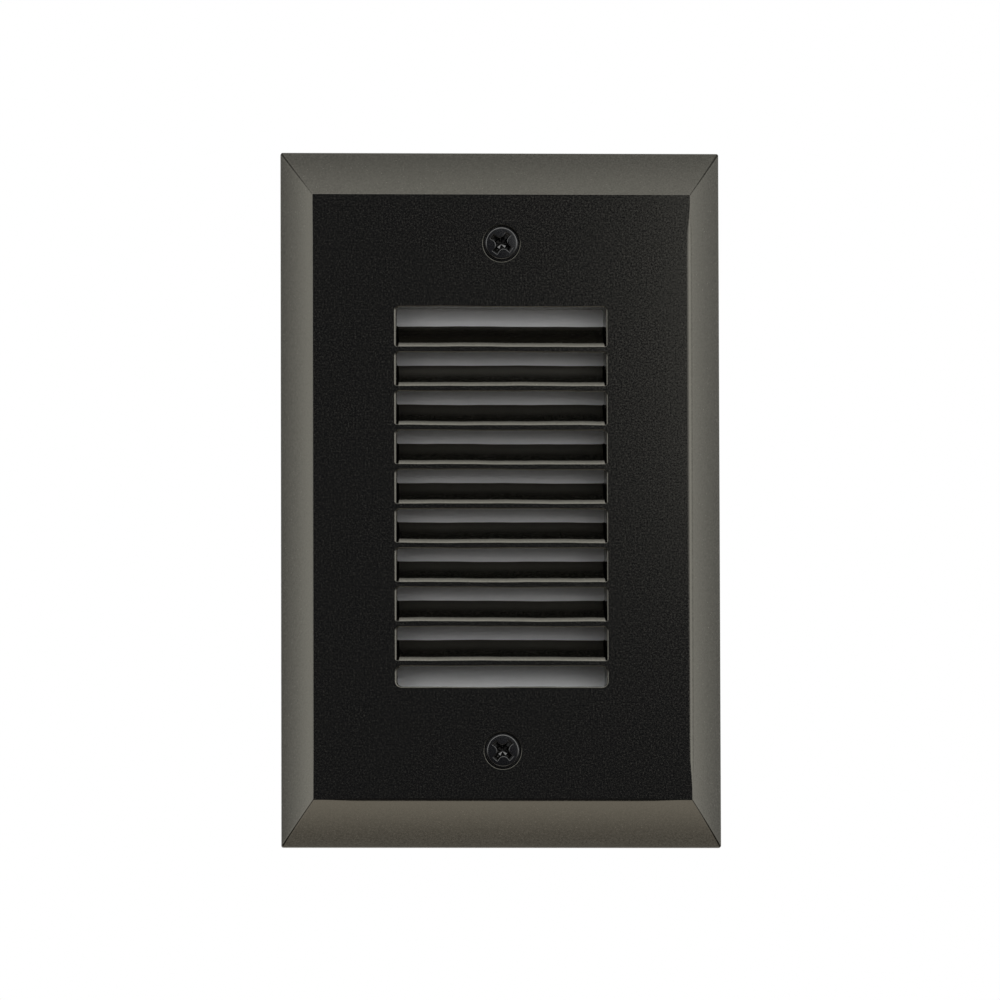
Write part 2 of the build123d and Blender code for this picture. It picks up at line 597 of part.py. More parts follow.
def make_inductor_winding():
    place = inductor_place()
    front = DRIVER_Y - INDUCTOR_HEIGHT + INDUCTOR_FLANGE
    back = DRIVER_Y - INDUCTOR_FLANGE
    winding = disc(INDUCTOR_SHANK + WINDING_DEPTH, front, back, *place)
    return winding - disc(INDUCTOR_SHANK, front, back, *place)


def make_bulk_capacitor():
    """An electrolytic capacitor that lies on the board."""
    place = Pos(DRIVER_COLUMN, DRIVER_Y - CAPACITOR_RADIUS, DRIVER_Z + DRIVER_HEIGHT / 5)
    return place * Cylinder(CAPACITOR_RADIUS, CAPACITOR_LENGTH)


def make_film_capacitor():
    return block(FILM_SIZE, DRIVER_Y - FILM_SIZE[1], DRIVER_COLUMN, DRIVER_Z - DRIVER_HEIGHT / 12)


def make_varistor():
    """A coated disc that stands on edge on its two short legs."""
    place = (-DRIVER_COLUMN, DRIVER_Z - DRIVER_HEIGHT / 14)
    middle = DRIVER_Y - VARISTOR_RADIUS - VARISTOR_LEG
    body = Pos(place[0], middle, place[1]) * Rot(0, 90, 0) * Cylinder(VARISTOR_RADIUS, VARISTOR_THICKNESS)
    leg = (VARISTOR_LEG, VARISTOR_LEG + VARISTOR_RADIUS, VARISTOR_LEG)
    return body + [block(leg, middle, place[0], place[1] + side * VARISTOR_RADIUS / 2) for side in (-1, 1)]


def make_fusible_resistor():
    """An axial resistor lying on the board, its leads bent down to the pads."""
    x, z = 0.0, DRIVER_Z - DRIVER_HEIGHT / 14
    body = Pos(x, DRIVER_Y - RESISTOR_RADIUS, z) * Cylinder(RESISTOR_RADIUS, RESISTOR_LENGTH)
    wire = RESISTOR_LEAD
    lead = (wire, wire, RESISTOR_LENGTH + 2 * RESISTOR_REACH)
    body += block(lead, DRIVER_Y - RESISTOR_RADIUS - wire / 2, x, z)
    leg = (wire, RESISTOR_RADIUS, wire)
    out = (lead[2] - wire) / 2
    return body + [block(leg, DRIVER_Y - RESISTOR_RADIUS, x, z + side * out) for side in (-1, 1)]


def make_chip(size, x, z, legs):
    """A moulded package with a row of flat legs down each side."""
    width, depth, height = size
    body = block(size, DRIVER_Y - depth, x, z)
    pitch = width / legs
    leg = (pitch * LEG_SHARE, LEG_THICKNESS, height + 2 * LEG_REACH)
    row = [x + (i - (legs - 1) / 2) * pitch for i in range(legs)]
    return body + [block(leg, DRIVER_Y - LEG_THICKNESS, leg_x, z) for leg_x in row]


def make_bridge_rectifier():
    return make_chip(BRIDGE_SIZE, 0, DRIVER_Z + DRIVER_HEIGHT * 3 / 8, 2)


def make_driver_ic():
    return make_chip(CHIP_SIZE, 0, DRIVER_Z + DRIVER_HEIGHT / 6, 4)


def make_smd_row(size, x, middle, count):
    """A row of small two-ended parts, one above the other."""
    pitch = size[2] + SMD_GAP
    places = [middle + (i - (count - 1) / 2) * pitch for i in range(count)]
    return [block(size, DRIVER_Y - size[1], x, z) for z in places]


def make_smd_resistors():
    return make_smd_row(SMD_RESISTOR, -DRIVER_COLUMN * 3 / 4, DRIVER_Z - DRIVER_HEIGHT / 3, 4)


def make_smd_capacitors():
    return make_smd_row(SMD_CAPACITOR, DRIVER_COLUMN * 5 / 12, DRIVER_Z + DRIVER_HEIGHT * 3 / 8, 3)


def make_input_terminal_block():
    """Two push-in mouths that face down, towards the cable entry."""
    width, depth, height = TERMINAL_SIZE
    z = DRIVER_Z - DRIVER_HEIGHT * 2 / 7
    body = block(TERMINAL_SIZE, DRIVER_Y - depth, DRIVER_COLUMN, z)
    mouth = (width / 3, depth / 2, height / 2)
    return body - [
        block(mouth, DRIVER_Y - depth * 3 / 4, DRIVER_COLUMN + side * width / 4, z - height / 4)
        for side in (-1, 1)
    ]


# ---------------------------------------------------------------- cable entry and ground
def make_cable_grommet():
    """A rubber bush in the back wall: a neck in the hole and a collar on each side of the wall."""
    place = (0, GROMMET_Z)
    inner, outer = FLOOR_Y - GROMMET_COLLAR_THICKNESS, TUB_DEPTH + GROMMET_COLLAR_THICKNESS
    bush = disc(GROMMET_COLLAR, inner, FLOOR_Y, *place)
    bush += disc(GROMMET_NECK, inner, outer, *place)
    bush += disc(GROMMET_COLLAR, TUB_DEPTH, outer, *place)
    return bush - disc(GROMMET_BORE, inner, outer, *place)


def make_ground_washer():
    ring = Circle(GROUND_WASHER_RADIUS) - Circle(GROUND_SCREW_RADIUS + SCREW_GAP)
    return Pos(GROUND_X, 0, GROMMET_Z) * prism(ring, TUB_DEPTH, TUB_DEPTH + GROUND_WASHER_THICKNESS)


def make_ground_screw():
    head = (GROUND_SCREW_RADIUS, GROUND_HEAD_RADIUS, GROUND_HEAD_HEIGHT)
    seat = TUB_DEPTH + GROUND_WASHER_THICKNESS
    return hex_screw(*head, seat, GROUND_SCREW_LENGTH, GROUND_X, GROMMET_Z, -1)


# ---------------------------------------------------------------- all pieces
PIECES = {
    "faceplate": make_faceplate(),
    "wall_gasket": make_wall_gasket(),
    "face_screw_upper": make_face_screw("upper"),
    "face_screw_lower": make_face_screw("lower"),
    "face_screw_washer_upper": make_face_screw_washer("upper"),
    "face_screw_washer_lower": make_face_screw_washer("lower"),
    "lens_gasket": make_lens_gasket(),
    "lens": make_lens(),
    "housing_seal": make_housing_seal(),
    "rear_housing": make_rear_housing(),
    "housing_screws": make_housing_screws(),
    "reflector": make_reflector(),
    "led_board": make_led_board(),
    "led_packages": make_led_packages(),
    "led_board_screws": make_led_board_screws(),
    "thermal_pad": make_thermal_pad(),
    "heat_sink_plate": make_heat_sink_plate(),
    "insulator_sheet": make_insulator_sheet(),
    "led_lead_positive": make_led_lead(1),
    "led_lead_negative": make_led_lead(-1),
    "driver_board": make_driver_board(),
    "driver_board_screws": make_driver_board_screws(),
    "inductor_core": make_inductor_core(),
    "inductor_winding": make_inductor_winding(),
    "bulk_capacitor": make_bulk_capacitor(),
    "film_capacitor": make_film_capacitor(),
    "varistor": make_varistor(),
    "fusible_resistor": make_fusible_resistor(),
    "bridge_rectifier": make_bridge_rectifier(),
    "driver_ic": make_driver_ic(),
    "smd_resistors": make_smd_resistors(),
    "smd_capacitors": make_smd_capacitors(),
    "input_terminal_block": make_input_terminal_block(),
    "cable_grommet": make_cable_grommet(),
    "ground_washer": make_ground_washer(),
    "ground_screw": make_ground_screw(),
}

os.makedirs("parts", exist_ok=True)
for node, shape in PIECES.items():
    if isinstance(shape, list):
        shape = Compound(children=shape)
    export_step(shape, os.path.join("parts", node + ".step"))
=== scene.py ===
# %% [markdown]
# # A louvred step light, dressed
#
# The light is a recessed one for a wall box. What a visitor sees is one die-cast
# plate with four mitred bevels, ten slots with raked blades in them, a frosted lens
# behind the slots, and two black screws. The solids give every piece its true size
# and place. This lesson gives the visible ones their rounded edges, their threads and
# their finishes, and it works in millimetres until a mesh is made.

# %% Load the solids
import json
import math

import bmesh
import bpy
import numpy as np
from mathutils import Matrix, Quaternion, Vector
from mathutils.geometry import delaunay_2d_cdt


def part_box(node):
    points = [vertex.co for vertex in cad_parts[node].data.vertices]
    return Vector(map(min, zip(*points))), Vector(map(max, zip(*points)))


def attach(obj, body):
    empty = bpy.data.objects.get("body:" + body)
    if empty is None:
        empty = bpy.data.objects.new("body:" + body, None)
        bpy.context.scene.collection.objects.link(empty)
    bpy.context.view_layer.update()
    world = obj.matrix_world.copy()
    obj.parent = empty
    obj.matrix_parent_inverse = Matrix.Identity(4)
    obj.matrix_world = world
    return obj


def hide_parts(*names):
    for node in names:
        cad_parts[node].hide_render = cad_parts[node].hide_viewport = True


MM = 0.001
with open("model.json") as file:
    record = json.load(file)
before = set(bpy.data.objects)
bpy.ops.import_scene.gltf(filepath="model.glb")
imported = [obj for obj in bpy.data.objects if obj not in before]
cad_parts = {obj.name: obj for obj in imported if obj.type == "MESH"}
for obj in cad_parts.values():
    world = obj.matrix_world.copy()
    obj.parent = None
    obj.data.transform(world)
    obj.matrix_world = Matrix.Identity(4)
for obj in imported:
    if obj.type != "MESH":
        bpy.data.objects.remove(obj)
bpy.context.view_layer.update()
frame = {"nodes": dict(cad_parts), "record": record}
nodes = frame["nodes"]


def box_mm(node):
    """The lowest and highest corner of a solid, in millimetres."""
    return [np.array(corner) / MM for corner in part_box(node)]


plate_low, plate_high = box_mm("faceplate")
print("plate", (plate_high - plate_low).round(2), "mm")

# %% [markdown]
# ## The camera
#
# A product picture like this is taken from far away with a long lens, so the plate's
# sides stay parallel. The camera stands a little to the left and a little below the
# plate. The slots prove it: a plain front view would show more of each blade and less
# of the lens above it.

# %% Place the camera
VIEW_AZIMUTH = -2.8         # degrees to the right of the face's own line
VIEW_ELEVATION = -5.3       # and above it
VIEW_DISTANCE = 2.4
VIEW_ROLL = -0.16
FIELD_MM = 163.6            # width of the picture, measured at the flat face
SENSOR_MM = 36.0
FACE_RIGHT_MM = 0.36        # how far the face's middle stands right of the picture's middle
FACE_UP_MM = 0.57           # and above it
NEAR_LIMIT = 0.05           # metres: the camera doesn't draw what is nearer


def direction_of(azimuth, elevation):
    """A unit vector from the face towards something that stands at these two angles, in degrees."""
    around, up = math.radians(azimuth), math.radians(elevation)
    return Vector((math.sin(around) * math.cos(up), -math.cos(around) * math.cos(up), math.sin(up)))


face_middle = Vector((0, plate_low[1] * MM, 0))
towards_camera = direction_of(VIEW_AZIMUTH, VIEW_ELEVATION)
camera = bpy.data.objects.new("camera", bpy.data.cameras.new("camera"))
bpy.context.scene.collection.objects.link(camera)
camera.location = face_middle + towards_camera * VIEW_DISTANCE
aim = (-towards_camera).to_track_quat("-Z", "Y")
camera.rotation_euler = (aim @ Quaternion((0, 0, 1), math.radians(VIEW_ROLL))).to_euler()
camera.data.sensor_width = SENSOR_MM
camera.data.lens = SENSOR_MM * VIEW_DISTANCE / (FIELD_MM * MM)
camera.data.shift_x = -FACE_RIGHT_MM / FIELD_MM
camera.data.shift_y = -FACE_UP_MM / FIELD_MM
camera.data.clip_start = NEAR_LIMIT
bpy.context.scene.camera = camera
bpy.context.scene.view_settings.view_transform = "Standard"
print("lens", round(camera.data.lens), "mm")

# %% [markdown]
# ## Three tools for sheet surfaces
#
# Almost everything on a casting is a profile that runs round a rounded rectangle: the
# bevels, the lip, and the funnel of each slot. So one function softens the corners of a
# profile, one carries profiles round, and one fills what is flat between loops. A sharp
# corner never catches light, and that thin line of light is what makes metal look cast.


# %% Soften a profile
def soften(points, radii, steps=5, margin=0.05):
    """A profile with rounded corners.

    Each inner corner becomes an arc tangent to both of its runs, whose centre lies on the
    corner's bisector. One more point just outside each end keeps the runs flat beside it.
    """
    points = np.array(points, float)
    pieces = [points[:1]]
    for before, corner, after, radius in zip(points, points[1:], points[2:], radii):
        if not radius:
            pieces.append(corner[None])
            continue
        u = (before - corner) / np.linalg.norm(before - corner)
        v = (after - corner) / np.linalg.norm(after - corner)
        half = math.acos(np.clip(u @ v, -1, 1)) / 2
        reach = radius / math.tan(half)
        start, end = corner + u * reach, corner + v * reach
        centre = corner + (u + v) / np.linalg.norm(u + v) * radius / math.sin(half)
        turn = math.pi - 2 * half
        t = np.linspace(0, 1, steps + 1)[:, None]
        arc = np.sin((1 - t) * turn) * (start - centre) + np.sin(t * turn) * (end - centre)
        pieces += [(start + u * margin)[None], centre + arc / math.sin(turn), (end + v * margin)[None]]
    return np.concatenate(pieces + [points[-1:]])


print("a softened right angle has", len(soften([(0, 0), (1, 0), (1, 1)], [0.2])), "points")

# %% [markdown]
# A rounded rectangle has four sides and four corners. Once its four side profiles are
# given level by level, the whole surface is one grid: a row for each level and a column
# for each place round it. A grid is worked out all at once, without a loop over points,
# and its seam closes by itself, because the last column joins the first.


# %% Carry profiles round and join the rings
def carry(right, top, left, bottom, corners, steps=6, run=0):
    """Rings round a rounded rectangle, one for each point of its four side profiles.

    A profile gives, level by level, how far out a side lies and how deep. Round each
    corner the place is a quarter circle and the depth goes from one side's to the next's
    with the square of the sine. `corners` holds the four radii, each a number or one per level.
    `run` more points divide each straight side. They crowd towards the corners, with half of
    one minus a cosine, so that a corner's shading doesn't spread along the side.
    """
    sides = [np.asarray(side, float) for side in (right, top, left, bottom)]
    levels = len(sides[0])
    rings = []
    t = (1 - np.cos(np.linspace(0, math.pi, run + 2)[1:-1, None])) / 2
    for k, radius in enumerate(corners):
        radius = np.broadcast_to(np.asarray(radius, float), levels)[:, None]
        here, there = sides[k], sides[(k + 1) % 4]
        across, upright = (here, there) if k % 2 == 0 else (there, here)
        sign_x = 1 if k in (0, 3) else -1
        sign_z = 1 if k in (0, 1) else -1
        local = np.linspace(0, math.pi / 2, steps + 1)[None, :]
        angle = local + k * math.pi / 2
        x = across[:, :1] - sign_x * radius + radius * np.cos(angle)
        z = upright[:, :1] - sign_z * radius + radius * np.sin(angle)
        y = here[:, 1:] + (there[:, 1:] - here[:, 1:]) * np.sin(local) ** 2
        rings.append(np.stack([x, y, z], axis=-1))
    starts = [corner[:, -1:] for corner in rings]
    ends = [corner[:, :1] for corner in rings[1:] + rings[:1]]
    runs = [start + (end - start) * t for start, end in zip(starts, ends)]
    return np.concatenate([part for pair in zip(rings, runs) for part in pair], axis=1)


def circles(profile, x, z, count=64):
    """Rings round a line along Y: each point of the profile is a radius and a depth."""
    profile = np.asarray(profile, float)
    angle = np.linspace(0, 2 * math.pi, count, endpoint=False)[None, :]
    radius = profile[:, :1]
    depth = np.broadcast_to(profile[:, 1:], (len(profile), count))
    return np.stack([x + radius * np.cos(angle), depth, z + radius * np.sin(angle)], axis=-1)


def skin(rings):
    """Points and quads over rings: each quad joins two neighbours on a ring to the next ring."""
    levels, count = rings.shape[:2]
    index = np.arange(levels * count).reshape(levels, count)
    beside = np.roll(index, -1, axis=1)
    quads = np.stack([index[:-1], beside[:-1], beside[1:], index[1:]], axis=-1)
    return rings.reshape(-1, 3), quads.reshape(-1, 4).tolist()


plus, minus = [(1, 0), (1, 1)], [(-1, 0), (-1, 1)]
print("a rounded square is a grid of", carry(plus, plus, minus, minus, [0.1] * 4).shape)

# %% [markdown]
# What lies flat between those grids, such as the face round its slots, has no rows and
# columns. It is filled with triangles that keep every edge given to them. They fill the
# holes too, so a triangle stays only if its middle lies between the loops.

# %% Fill between loops
WITHIN_LOOPS = 1            # kind of result: triangles that lie within the outermost loop
SAME_PLACE = 1e-6           # millimetres: places that lie closer are one


def inside(points, loops):
    """Whether each point lies between the loops.

    It does if a ray to its right crosses their edges an odd number of times.
    """
    start = np.concatenate(loops)
    end = np.concatenate([np.roll(loop, -1, axis=0) for loop in loops])
    x, z = points[:, :1], points[:, 1:]
    spans = (start[:, 1] > z) != (end[:, 1] > z)
    rise = np.where(end[:, 1] == start[:, 1], 1, end[:, 1] - start[:, 1])
    crossing = start[:, 0] + (z - start[:, 1]) / rise * (end[:, 0] - start[:, 0])
    return (spans & (x < crossing)).sum(axis=1) % 2 == 1


def fill(outer, holes=()):
    """Triangles of a flat region, upright at one depth, between an outer ring and its holes."""
    loops = [ring[:, [0, 2]] for ring in (outer, *holes)]
    edges, first = [], 0
    for loop in loops:
        count = len(loop)
        edges += [(first + i, first + (i + 1) % count) for i in range(count)]
        first += count
    flat = [Vector(place) for place in np.concatenate(loops)]
    found = delaunay_2d_cdt(flat, edges, [], WITHIN_LOOPS, SAME_PLACE)
    places = np.array([list(v) for v in found[0]])
    triangles = np.array(found[2])
    triangles = triangles[inside(places[triangles].mean(axis=1), loops)]
    depth = np.full(len(places), outer[0, 1])
    return np.stack([places[:, 0], depth, places[:, 1]], axis=-1), triangles.tolist()


square = np.array([(0, 0, 0), (1, 0, 0), (1, 0, 1), (0, 0, 1)], float)
print("a filled square has", len(fill(square)[1]), "triangles")

# %% [markdown]
# Several surfaces make one closed piece once the points that they share are joined. The
# edges that don't have two faces are counted, because a hole is easily missed by eye.

# %% Weld surfaces into one piece
SAME_POINT = 1e-6           # metres: points that lie closer are one
NO_LENGTH = 1e-8            # and an edge that is shorter is none


def weld(name, surfaces, body, replaced, sharp=35.0):
    """One closed mesh from several surfaces, given in millimetres, on the body it belongs to."""
    points, faces, first = [], [], 0
    for places, polygons in surfaces:
        points.append(places)
        faces += [[first + i for i in polygon] for polygon in polygons]
        first += len(places)
    mesh = bpy.data.meshes.new(name)
    mesh.from_pydata((np.concatenate(points) * MM).tolist(), [], faces)
    work = bmesh.new()
    work.from_mesh(mesh)
    bmesh.ops.remove_doubles(work, verts=work.verts, dist=SAME_POINT)
    bmesh.ops.dissolve_degenerate(work, edges=work.edges, dist=NO_LENGTH)
    bmesh.ops.recalc_face_normals(work, faces=work.faces)
    open_edges = sum(not edge.is_manifold for edge in work.edges)
    work.to_mesh(mesh)
    work.free()
    mesh.polygons.foreach_set("use_smooth", np.ones(len(mesh.polygons), bool))
    mesh.set_sharp_from_angle(angle=math.radians(sharp))
    piece = bpy.data.objects.new(name, mesh)
    bpy.context.scene.collection.objects.link(piece)
    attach(piece, body)
    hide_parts(replaced)
    print(name, len(mesh.polygons), "faces,", open_edges, "open edges")
    return piece


# %% [markdown]
# ## The plate's outside
#
# The plate is thin-walled: a flat face, bevels that fall away from it all round, a short
# upright lip, and a hollow behind. Its side bevels are narrower than its end bevels, so
# two profiles run round together and meet in the mitres. Each bevel is a little crowned,
# as a polished pattern is, and so it shades from its inner to its outer edge.

# %% Profiles of the bevels, the lip and the hollow
FACE_Y = plate_low[1]
RIM_Y = plate_high[1]
HALF_WIDTH = plate_high[0]
HALF_HEIGHT = plate_high[2]
SIDE_BEVEL = 5.0
END_BEVEL = 7.4
LIP_HEIGHT = 1.5
FACE_WALL = 2.4
BEVEL_WALL = 2.2
BEVEL_CROWN = 0.20          # how far the middle of a bevel stands out from a flat one
CROWN_POINTS = 8
RIGHT_EDGE = 1.45           # radius between the face and a bevel: softest along the right
BOTTOM_EDGE = 1.0
LEFT_EDGE = 0.25
UPPER_EDGE = 0.1
SOFTENING = 6.0             # the mitres are crisp, and each side grows softer over this length
LIP_EDGE = 0.35             # radius between a bevel and the lip
RIM_EDGE = 0.2
MITRE = 0.12                # radius of a mitre where it leaves the face
CORNER = 0.35               # radius of the plate's corners
BEVEL_Y = RIM_Y - LIP_HEIGHT
INNER_Y = FACE_Y + FACE_WALL
FLAT_MARGIN = 1.5           # width of face that the outer rings keep, inside the bevels
PLATE_RUN = 24              # points along each side, so that a soft edge can grow crisp again


def crowned(start, end, height, count):
    """Points between two ends of a bevel, on a parabola that stands `height` out at its middle."""
    start, end = np.array(start), np.array(end)
    t = np.linspace(0, 1, count + 2)[1:-1, None]
    along = (end - start) / np.linalg.norm(end - start)
    outward = np.array([-along[1], along[0]])
    outward *= -np.sign(outward[1])
    return start + (end - start) * t + 4 * height * t * (1 - t) * outward


def plate_profile(half, bevel, face_edge):
    """One side of the plate, from the flat face round to the inside, as distance out and depth."""
    rise = BEVEL_Y - FACE_Y
    shift = BEVEL_WALL * math.hypot(bevel, rise) / rise
    shallow = half - bevel + FACE_WALL / rise * bevel - shift
    face_corner = (half - bevel, FACE_Y)
    lip_corner = (half, BEVEL_Y)
    front = [(half - bevel - FLAT_MARGIN, FACE_Y), face_corner]
    crown = crowned(face_corner, lip_corner, BEVEL_CROWN, CROWN_POINTS)
    back = [lip_corner, (half, RIM_Y), (half - shift, RIM_Y), (half - shift, BEVEL_Y), (shallow, INNER_Y)]
    radii = [face_edge] + [0] * CROWN_POINTS + [LIP_EDGE, RIM_EDGE, 0, 0]
    return soften(front + [tuple(p) for p in crown] + back, radii)


print("a side's profile has", len(plate_profile(HALF_WIDTH, SIDE_BEVEL, LEFT_EDGE)), "points")

# %% [markdown]
# The face's right and lower edges are softer than the other two, as polishing leaves
# them, but the mitres are crisp. So the plate is worked out twice, once crisp and once
# soft, and the two are mixed by the way along a side from the face's corner: next to the
# corner nothing moves, so the bevels meet in a sharp line, and further on it grows soft.


# %% Run the profiles round the plate
def mirrored(profile):
    """The same profile on the opposite side."""
    return profile * [-1, 1]


def plate_outside(right_edge, upper_edge, left_edge, bottom_edge):
    """Rings round the plate, for a radius between the face and the bevel on each of its sides."""
    right = plate_profile(HALF_WIDTH, SIDE_BEVEL, right_edge)
    upper = plate_profile(HALF_HEIGHT, END_BEVEL, upper_edge)
    left = mirrored(plate_profile(HALF_WIDTH, SIDE_BEVEL, left_edge))
    lower = mirrored(plate_profile(HALF_HEIGHT, END_BEVEL, bottom_edge))
    corner = np.interp(right[:, 1], [FACE_Y, BEVEL_Y], [MITRE, CORNER])
    return carry(right, upper, left, lower, [corner] * 4, run=PLATE_RUN)


crisp = plate_outside(UPPER_EDGE, UPPER_EDGE, UPPER_EDGE, UPPER_EDGE)
soft = plate_outside(RIGHT_EDGE, UPPER_EDGE, LEFT_EDGE, BOTTOM_EDGE)
face_half = np.array([HALF_WIDTH - SIDE_BEVEL, HALF_HEIGHT - END_BEVEL])
room = (face_half - np.abs(crisp[..., [0, 2]])).max(axis=-1, keepdims=True)
share = np.clip((room - FLAT_MARGIN) / SOFTENING, 0, 1)
plate_rings = crisp + (soft - crisp) * share**2 * (3 - 2 * share)
plate_surfaces = [skin(plate_rings)]
print("plate rings", plate_rings.shape)

# %% [markdown]
# ## The louvre
#
# Ten slots pierce the face. Behind each of the upper nine a blade rakes up and back, so
# that the light goes down to the step and rain stays out. A blade isn't a piece of its
# own: it is what is left between two slots. So each slot is made as a funnel whose
# bottom follows the rounded lip and rake of the blade below it and whose top follows the
# underside of the blade above it. The blades come out by themselves.

# %% Sizes of the slots and blades
HALF_WINDOW = 17.5
HALF_WINDOW_HEIGHT = 31.2
BLADE_COUNT = 9
BLADE_PITCH = 6.45
LOWEST_GAP = 3.12
BLADE_LAND = 1.15
BLADE_RISE = 3.78
BLADE_DEPTH = 4.2
BLADE_TAIL = 0.95
LIP_UP = 0.56               # the lip's short steep facet: how far it goes up
LIP_IN = 0.23               # and in
LIP_START_RADIUS = 0.12     # radius between a blade's flat front and its lip
LIP_RADIUS = 1.85           # and between the lip and the rake behind it
TOP_EDGE = 0.18             # radius of a slot's top edge
WINDOW_EDGE = 0.2           # and of the highest slot's, whose wall is straight
SLOT_LEFT = (17.25, 17.00)  # where a slot's left wall starts and ends: it has the draft of a casting
SLOT_RIGHT = (17.15, 16.90)
LEFT_SIDE_EDGE = 0.43
RIGHT_SIDE_EDGE = 0.22
WALL_POINTS = 8             # as many points as a softened corner has, so that all four sides match
BACK_EDGE = 0.07            # radius of each blade's edges at the back
SLOT_MARGIN = 0.5
BACK_MARGIN = 0.22
TOP_CORNER = 0.55
BOTTOM_CORNER = 0.25
LOWEST_CORNER = 0.9
RUN_POINTS = 40             # points along a slot, for the unevenness of the casting
BLADE_BACK = FACE_Y + BLADE_DEPTH
blade_fronts = -HALF_WINDOW_HEIGHT + LOWEST_GAP + np.arange(BLADE_COUNT) * BLADE_PITCH
print("blades start at", blade_fronts.round(2), "mm")


# %% The four sides of a funnel
def funnel_side(front, back, radius, outward):
    """One side of a funnel: in along the face, straight back, and out along the blades' back."""
    wall = np.linspace((front, FACE_Y), (back, BLADE_BACK), WALL_POINTS + 2)
    start = (front + outward * SLOT_MARGIN, FACE_Y)
    end = (back + outward * BACK_MARGIN, BLADE_BACK)
    return soften([start, *wall, end], [radius] + [0] * WALL_POINTS + [BACK_EDGE])


def funnel_lip(front, back):
    """The lower side of a funnel: a blade's lip, which is a short steep facet and then a wide curve."""
    points = [
        (front - SLOT_MARGIN, FACE_Y),
        (front, FACE_Y),
        (front + LIP_UP, FACE_Y + LIP_IN),
        (back, BLADE_BACK),
        (back - BACK_MARGIN, BLADE_BACK),
    ]
    return soften(points, [LIP_START_RADIUS, LIP_RADIUS, BACK_EDGE])


wall_points = len(funnel_side(*SLOT_LEFT, LEFT_SIDE_EDGE, 1))
print("a wall has", wall_points, "points, a lip", len(funnel_lip(0, BLADE_RISE)))

# %% [markdown]
# The slots' edges aren't ruler-straight: a die that was finished by hand leaves them a
# few hundredths of a millimetre out. Three waves of no common length give that, and each
# edge starts them at its own place, so no two blades look alike.

# %% Ten slots
WAVER = 0.06                # how far a slot's edges stray from a straight line
WAVES = [                   # height of each wave, radians for each millimetre, and what its phase is times
    (1.0, 0.21, 1.0),
    (0.6, 0.47, 2.3),
    (0.35, 1.13, 3.1),
]
WAVE_STEP = 1.7             # how far the phase moves on from one blade to the next


def waver(x, number):
    """How far an edge strays at each place along it: a sum of sines, divided by their heights."""
    phase = number * WAVE_STEP
    waves = sum(height * np.sin(x * pace + start * phase) for height, pace, start in WAVES)
    return WAVER * waves / sum(height for height, _, _ in WAVES)


def slot_rings(number):
    """The funnel of one slot, numbered from the lowest: four profiles carried round from front to back.

    Its lower and its upper edge waver by themselves, and in between the two shifts are mixed
    by height, so that no two points of a side wall cross.
    """
    right = funnel_side(*SLOT_RIGHT, RIGHT_SIDE_EDGE, 1)
    left = funnel_side(*SLOT_LEFT, LEFT_SIDE_EDGE, 1)
    if number < BLADE_COUNT:
        edge = blade_fronts[number]
        top = funnel_side(edge, edge + BLADE_LAND + BLADE_RISE - BLADE_TAIL, TOP_EDGE, 1)
    else:
        top = funnel_side(HALF_WINDOW_HEIGHT, HALF_WINDOW_HEIGHT, WINDOW_EDGE, 1)
    if number > 0:
        edge = blade_fronts[number - 1] + BLADE_LAND
        bottom = funnel_lip(edge, edge + BLADE_RISE)
        high, low = TOP_CORNER, BOTTOM_CORNER
    else:
        bottom = funnel_side(-HALF_WINDOW_HEIGHT, -HALF_WINDOW_HEIGHT, TOP_EDGE, -1)
        high = low = LOWEST_CORNER
    growth = np.maximum(right[:, 0] - SLOT_RIGHT[0], 0)
    corners = [high + growth, high + growth, low + growth, low + growth]
    rings = carry(right, top, mirrored(left), bottom, corners, run=RUN_POINTS)
    share = np.clip((rings[..., 2] - bottom[:, :1]) / (top[:, :1] - bottom[:, :1]), 0, 1)
    rings[..., 2] += (1 - share) * waver(rings[..., 0], number) + share * waver(rings[..., 0], number + 0.5)
    return rings


slots = [slot_rings(number) for number in range(BLADE_COUNT + 1)]
plate_surfaces += [skin(rings) for rings in slots]
print("slots", len(slots), "of", slots[0].shape[:2], "points")

# %% [markdown]
# ## Screw holes and the plate's back
#
# Each screw's head sits in a shallow counterbore with a boss behind it. The back of the
# plate also carries the lens seat, the rib that presses on the seal, and four small
# bosses. They don't show on a wall, but a casting that ends in thin air isn't a part, so
# they are closed here with the same three tools.

# %% Counterbores
SCREW_Z = 41.67
COUNTERBORE = 3.0
COUNTERBORE_DEPTH = 1.0
COUNTERBORE_EDGE = 0.14
SCREW_HOLE = 2.0
SCREW_BOSS = 3.8
counterbores, hole_ends = [], []
for z in (SCREW_Z, -SCREW_Z):
    bore = soften(
        [
            (COUNTERBORE + SLOT_MARGIN, FACE_Y),
            (COUNTERBORE, FACE_Y),
            (COUNTERBORE, FACE_Y + COUNTERBORE_DEPTH),
            (SCREW_HOLE, FACE_Y + COUNTERBORE_DEPTH),
            (SCREW_HOLE, RIM_Y),
            (SCREW_BOSS, RIM_Y),
            (SCREW_BOSS, INNER_Y),
        ],
        [COUNTERBORE_EDGE, 0, 0, 0, 0],
    )
    rings = circles(bore, 0, z)
    counterbores.append(rings[0])
    hole_ends.append(rings[-1])
    plate_surfaces.append(skin(rings))
print("counterbores", len(counterbores), "of", rings.shape[:2], "points")

# %% Four small bosses with pilot holes
BOSS_SHORT = 2.0            # how far before the rim the bosses end, to leave room for the tub's flange
FLANGE_Y = RIM_Y - BOSS_SHORT
HOUSING_SCREW_X = 26.95
HOUSING_SCREW_Z = 30.0
HOUSING_BOSS = 2.2
PILOT = 1.3
PILOT_Y = -6.75
PILOT_SIDES = 24
SQUARE_CORNER = 0.01        # a corner that counts as square


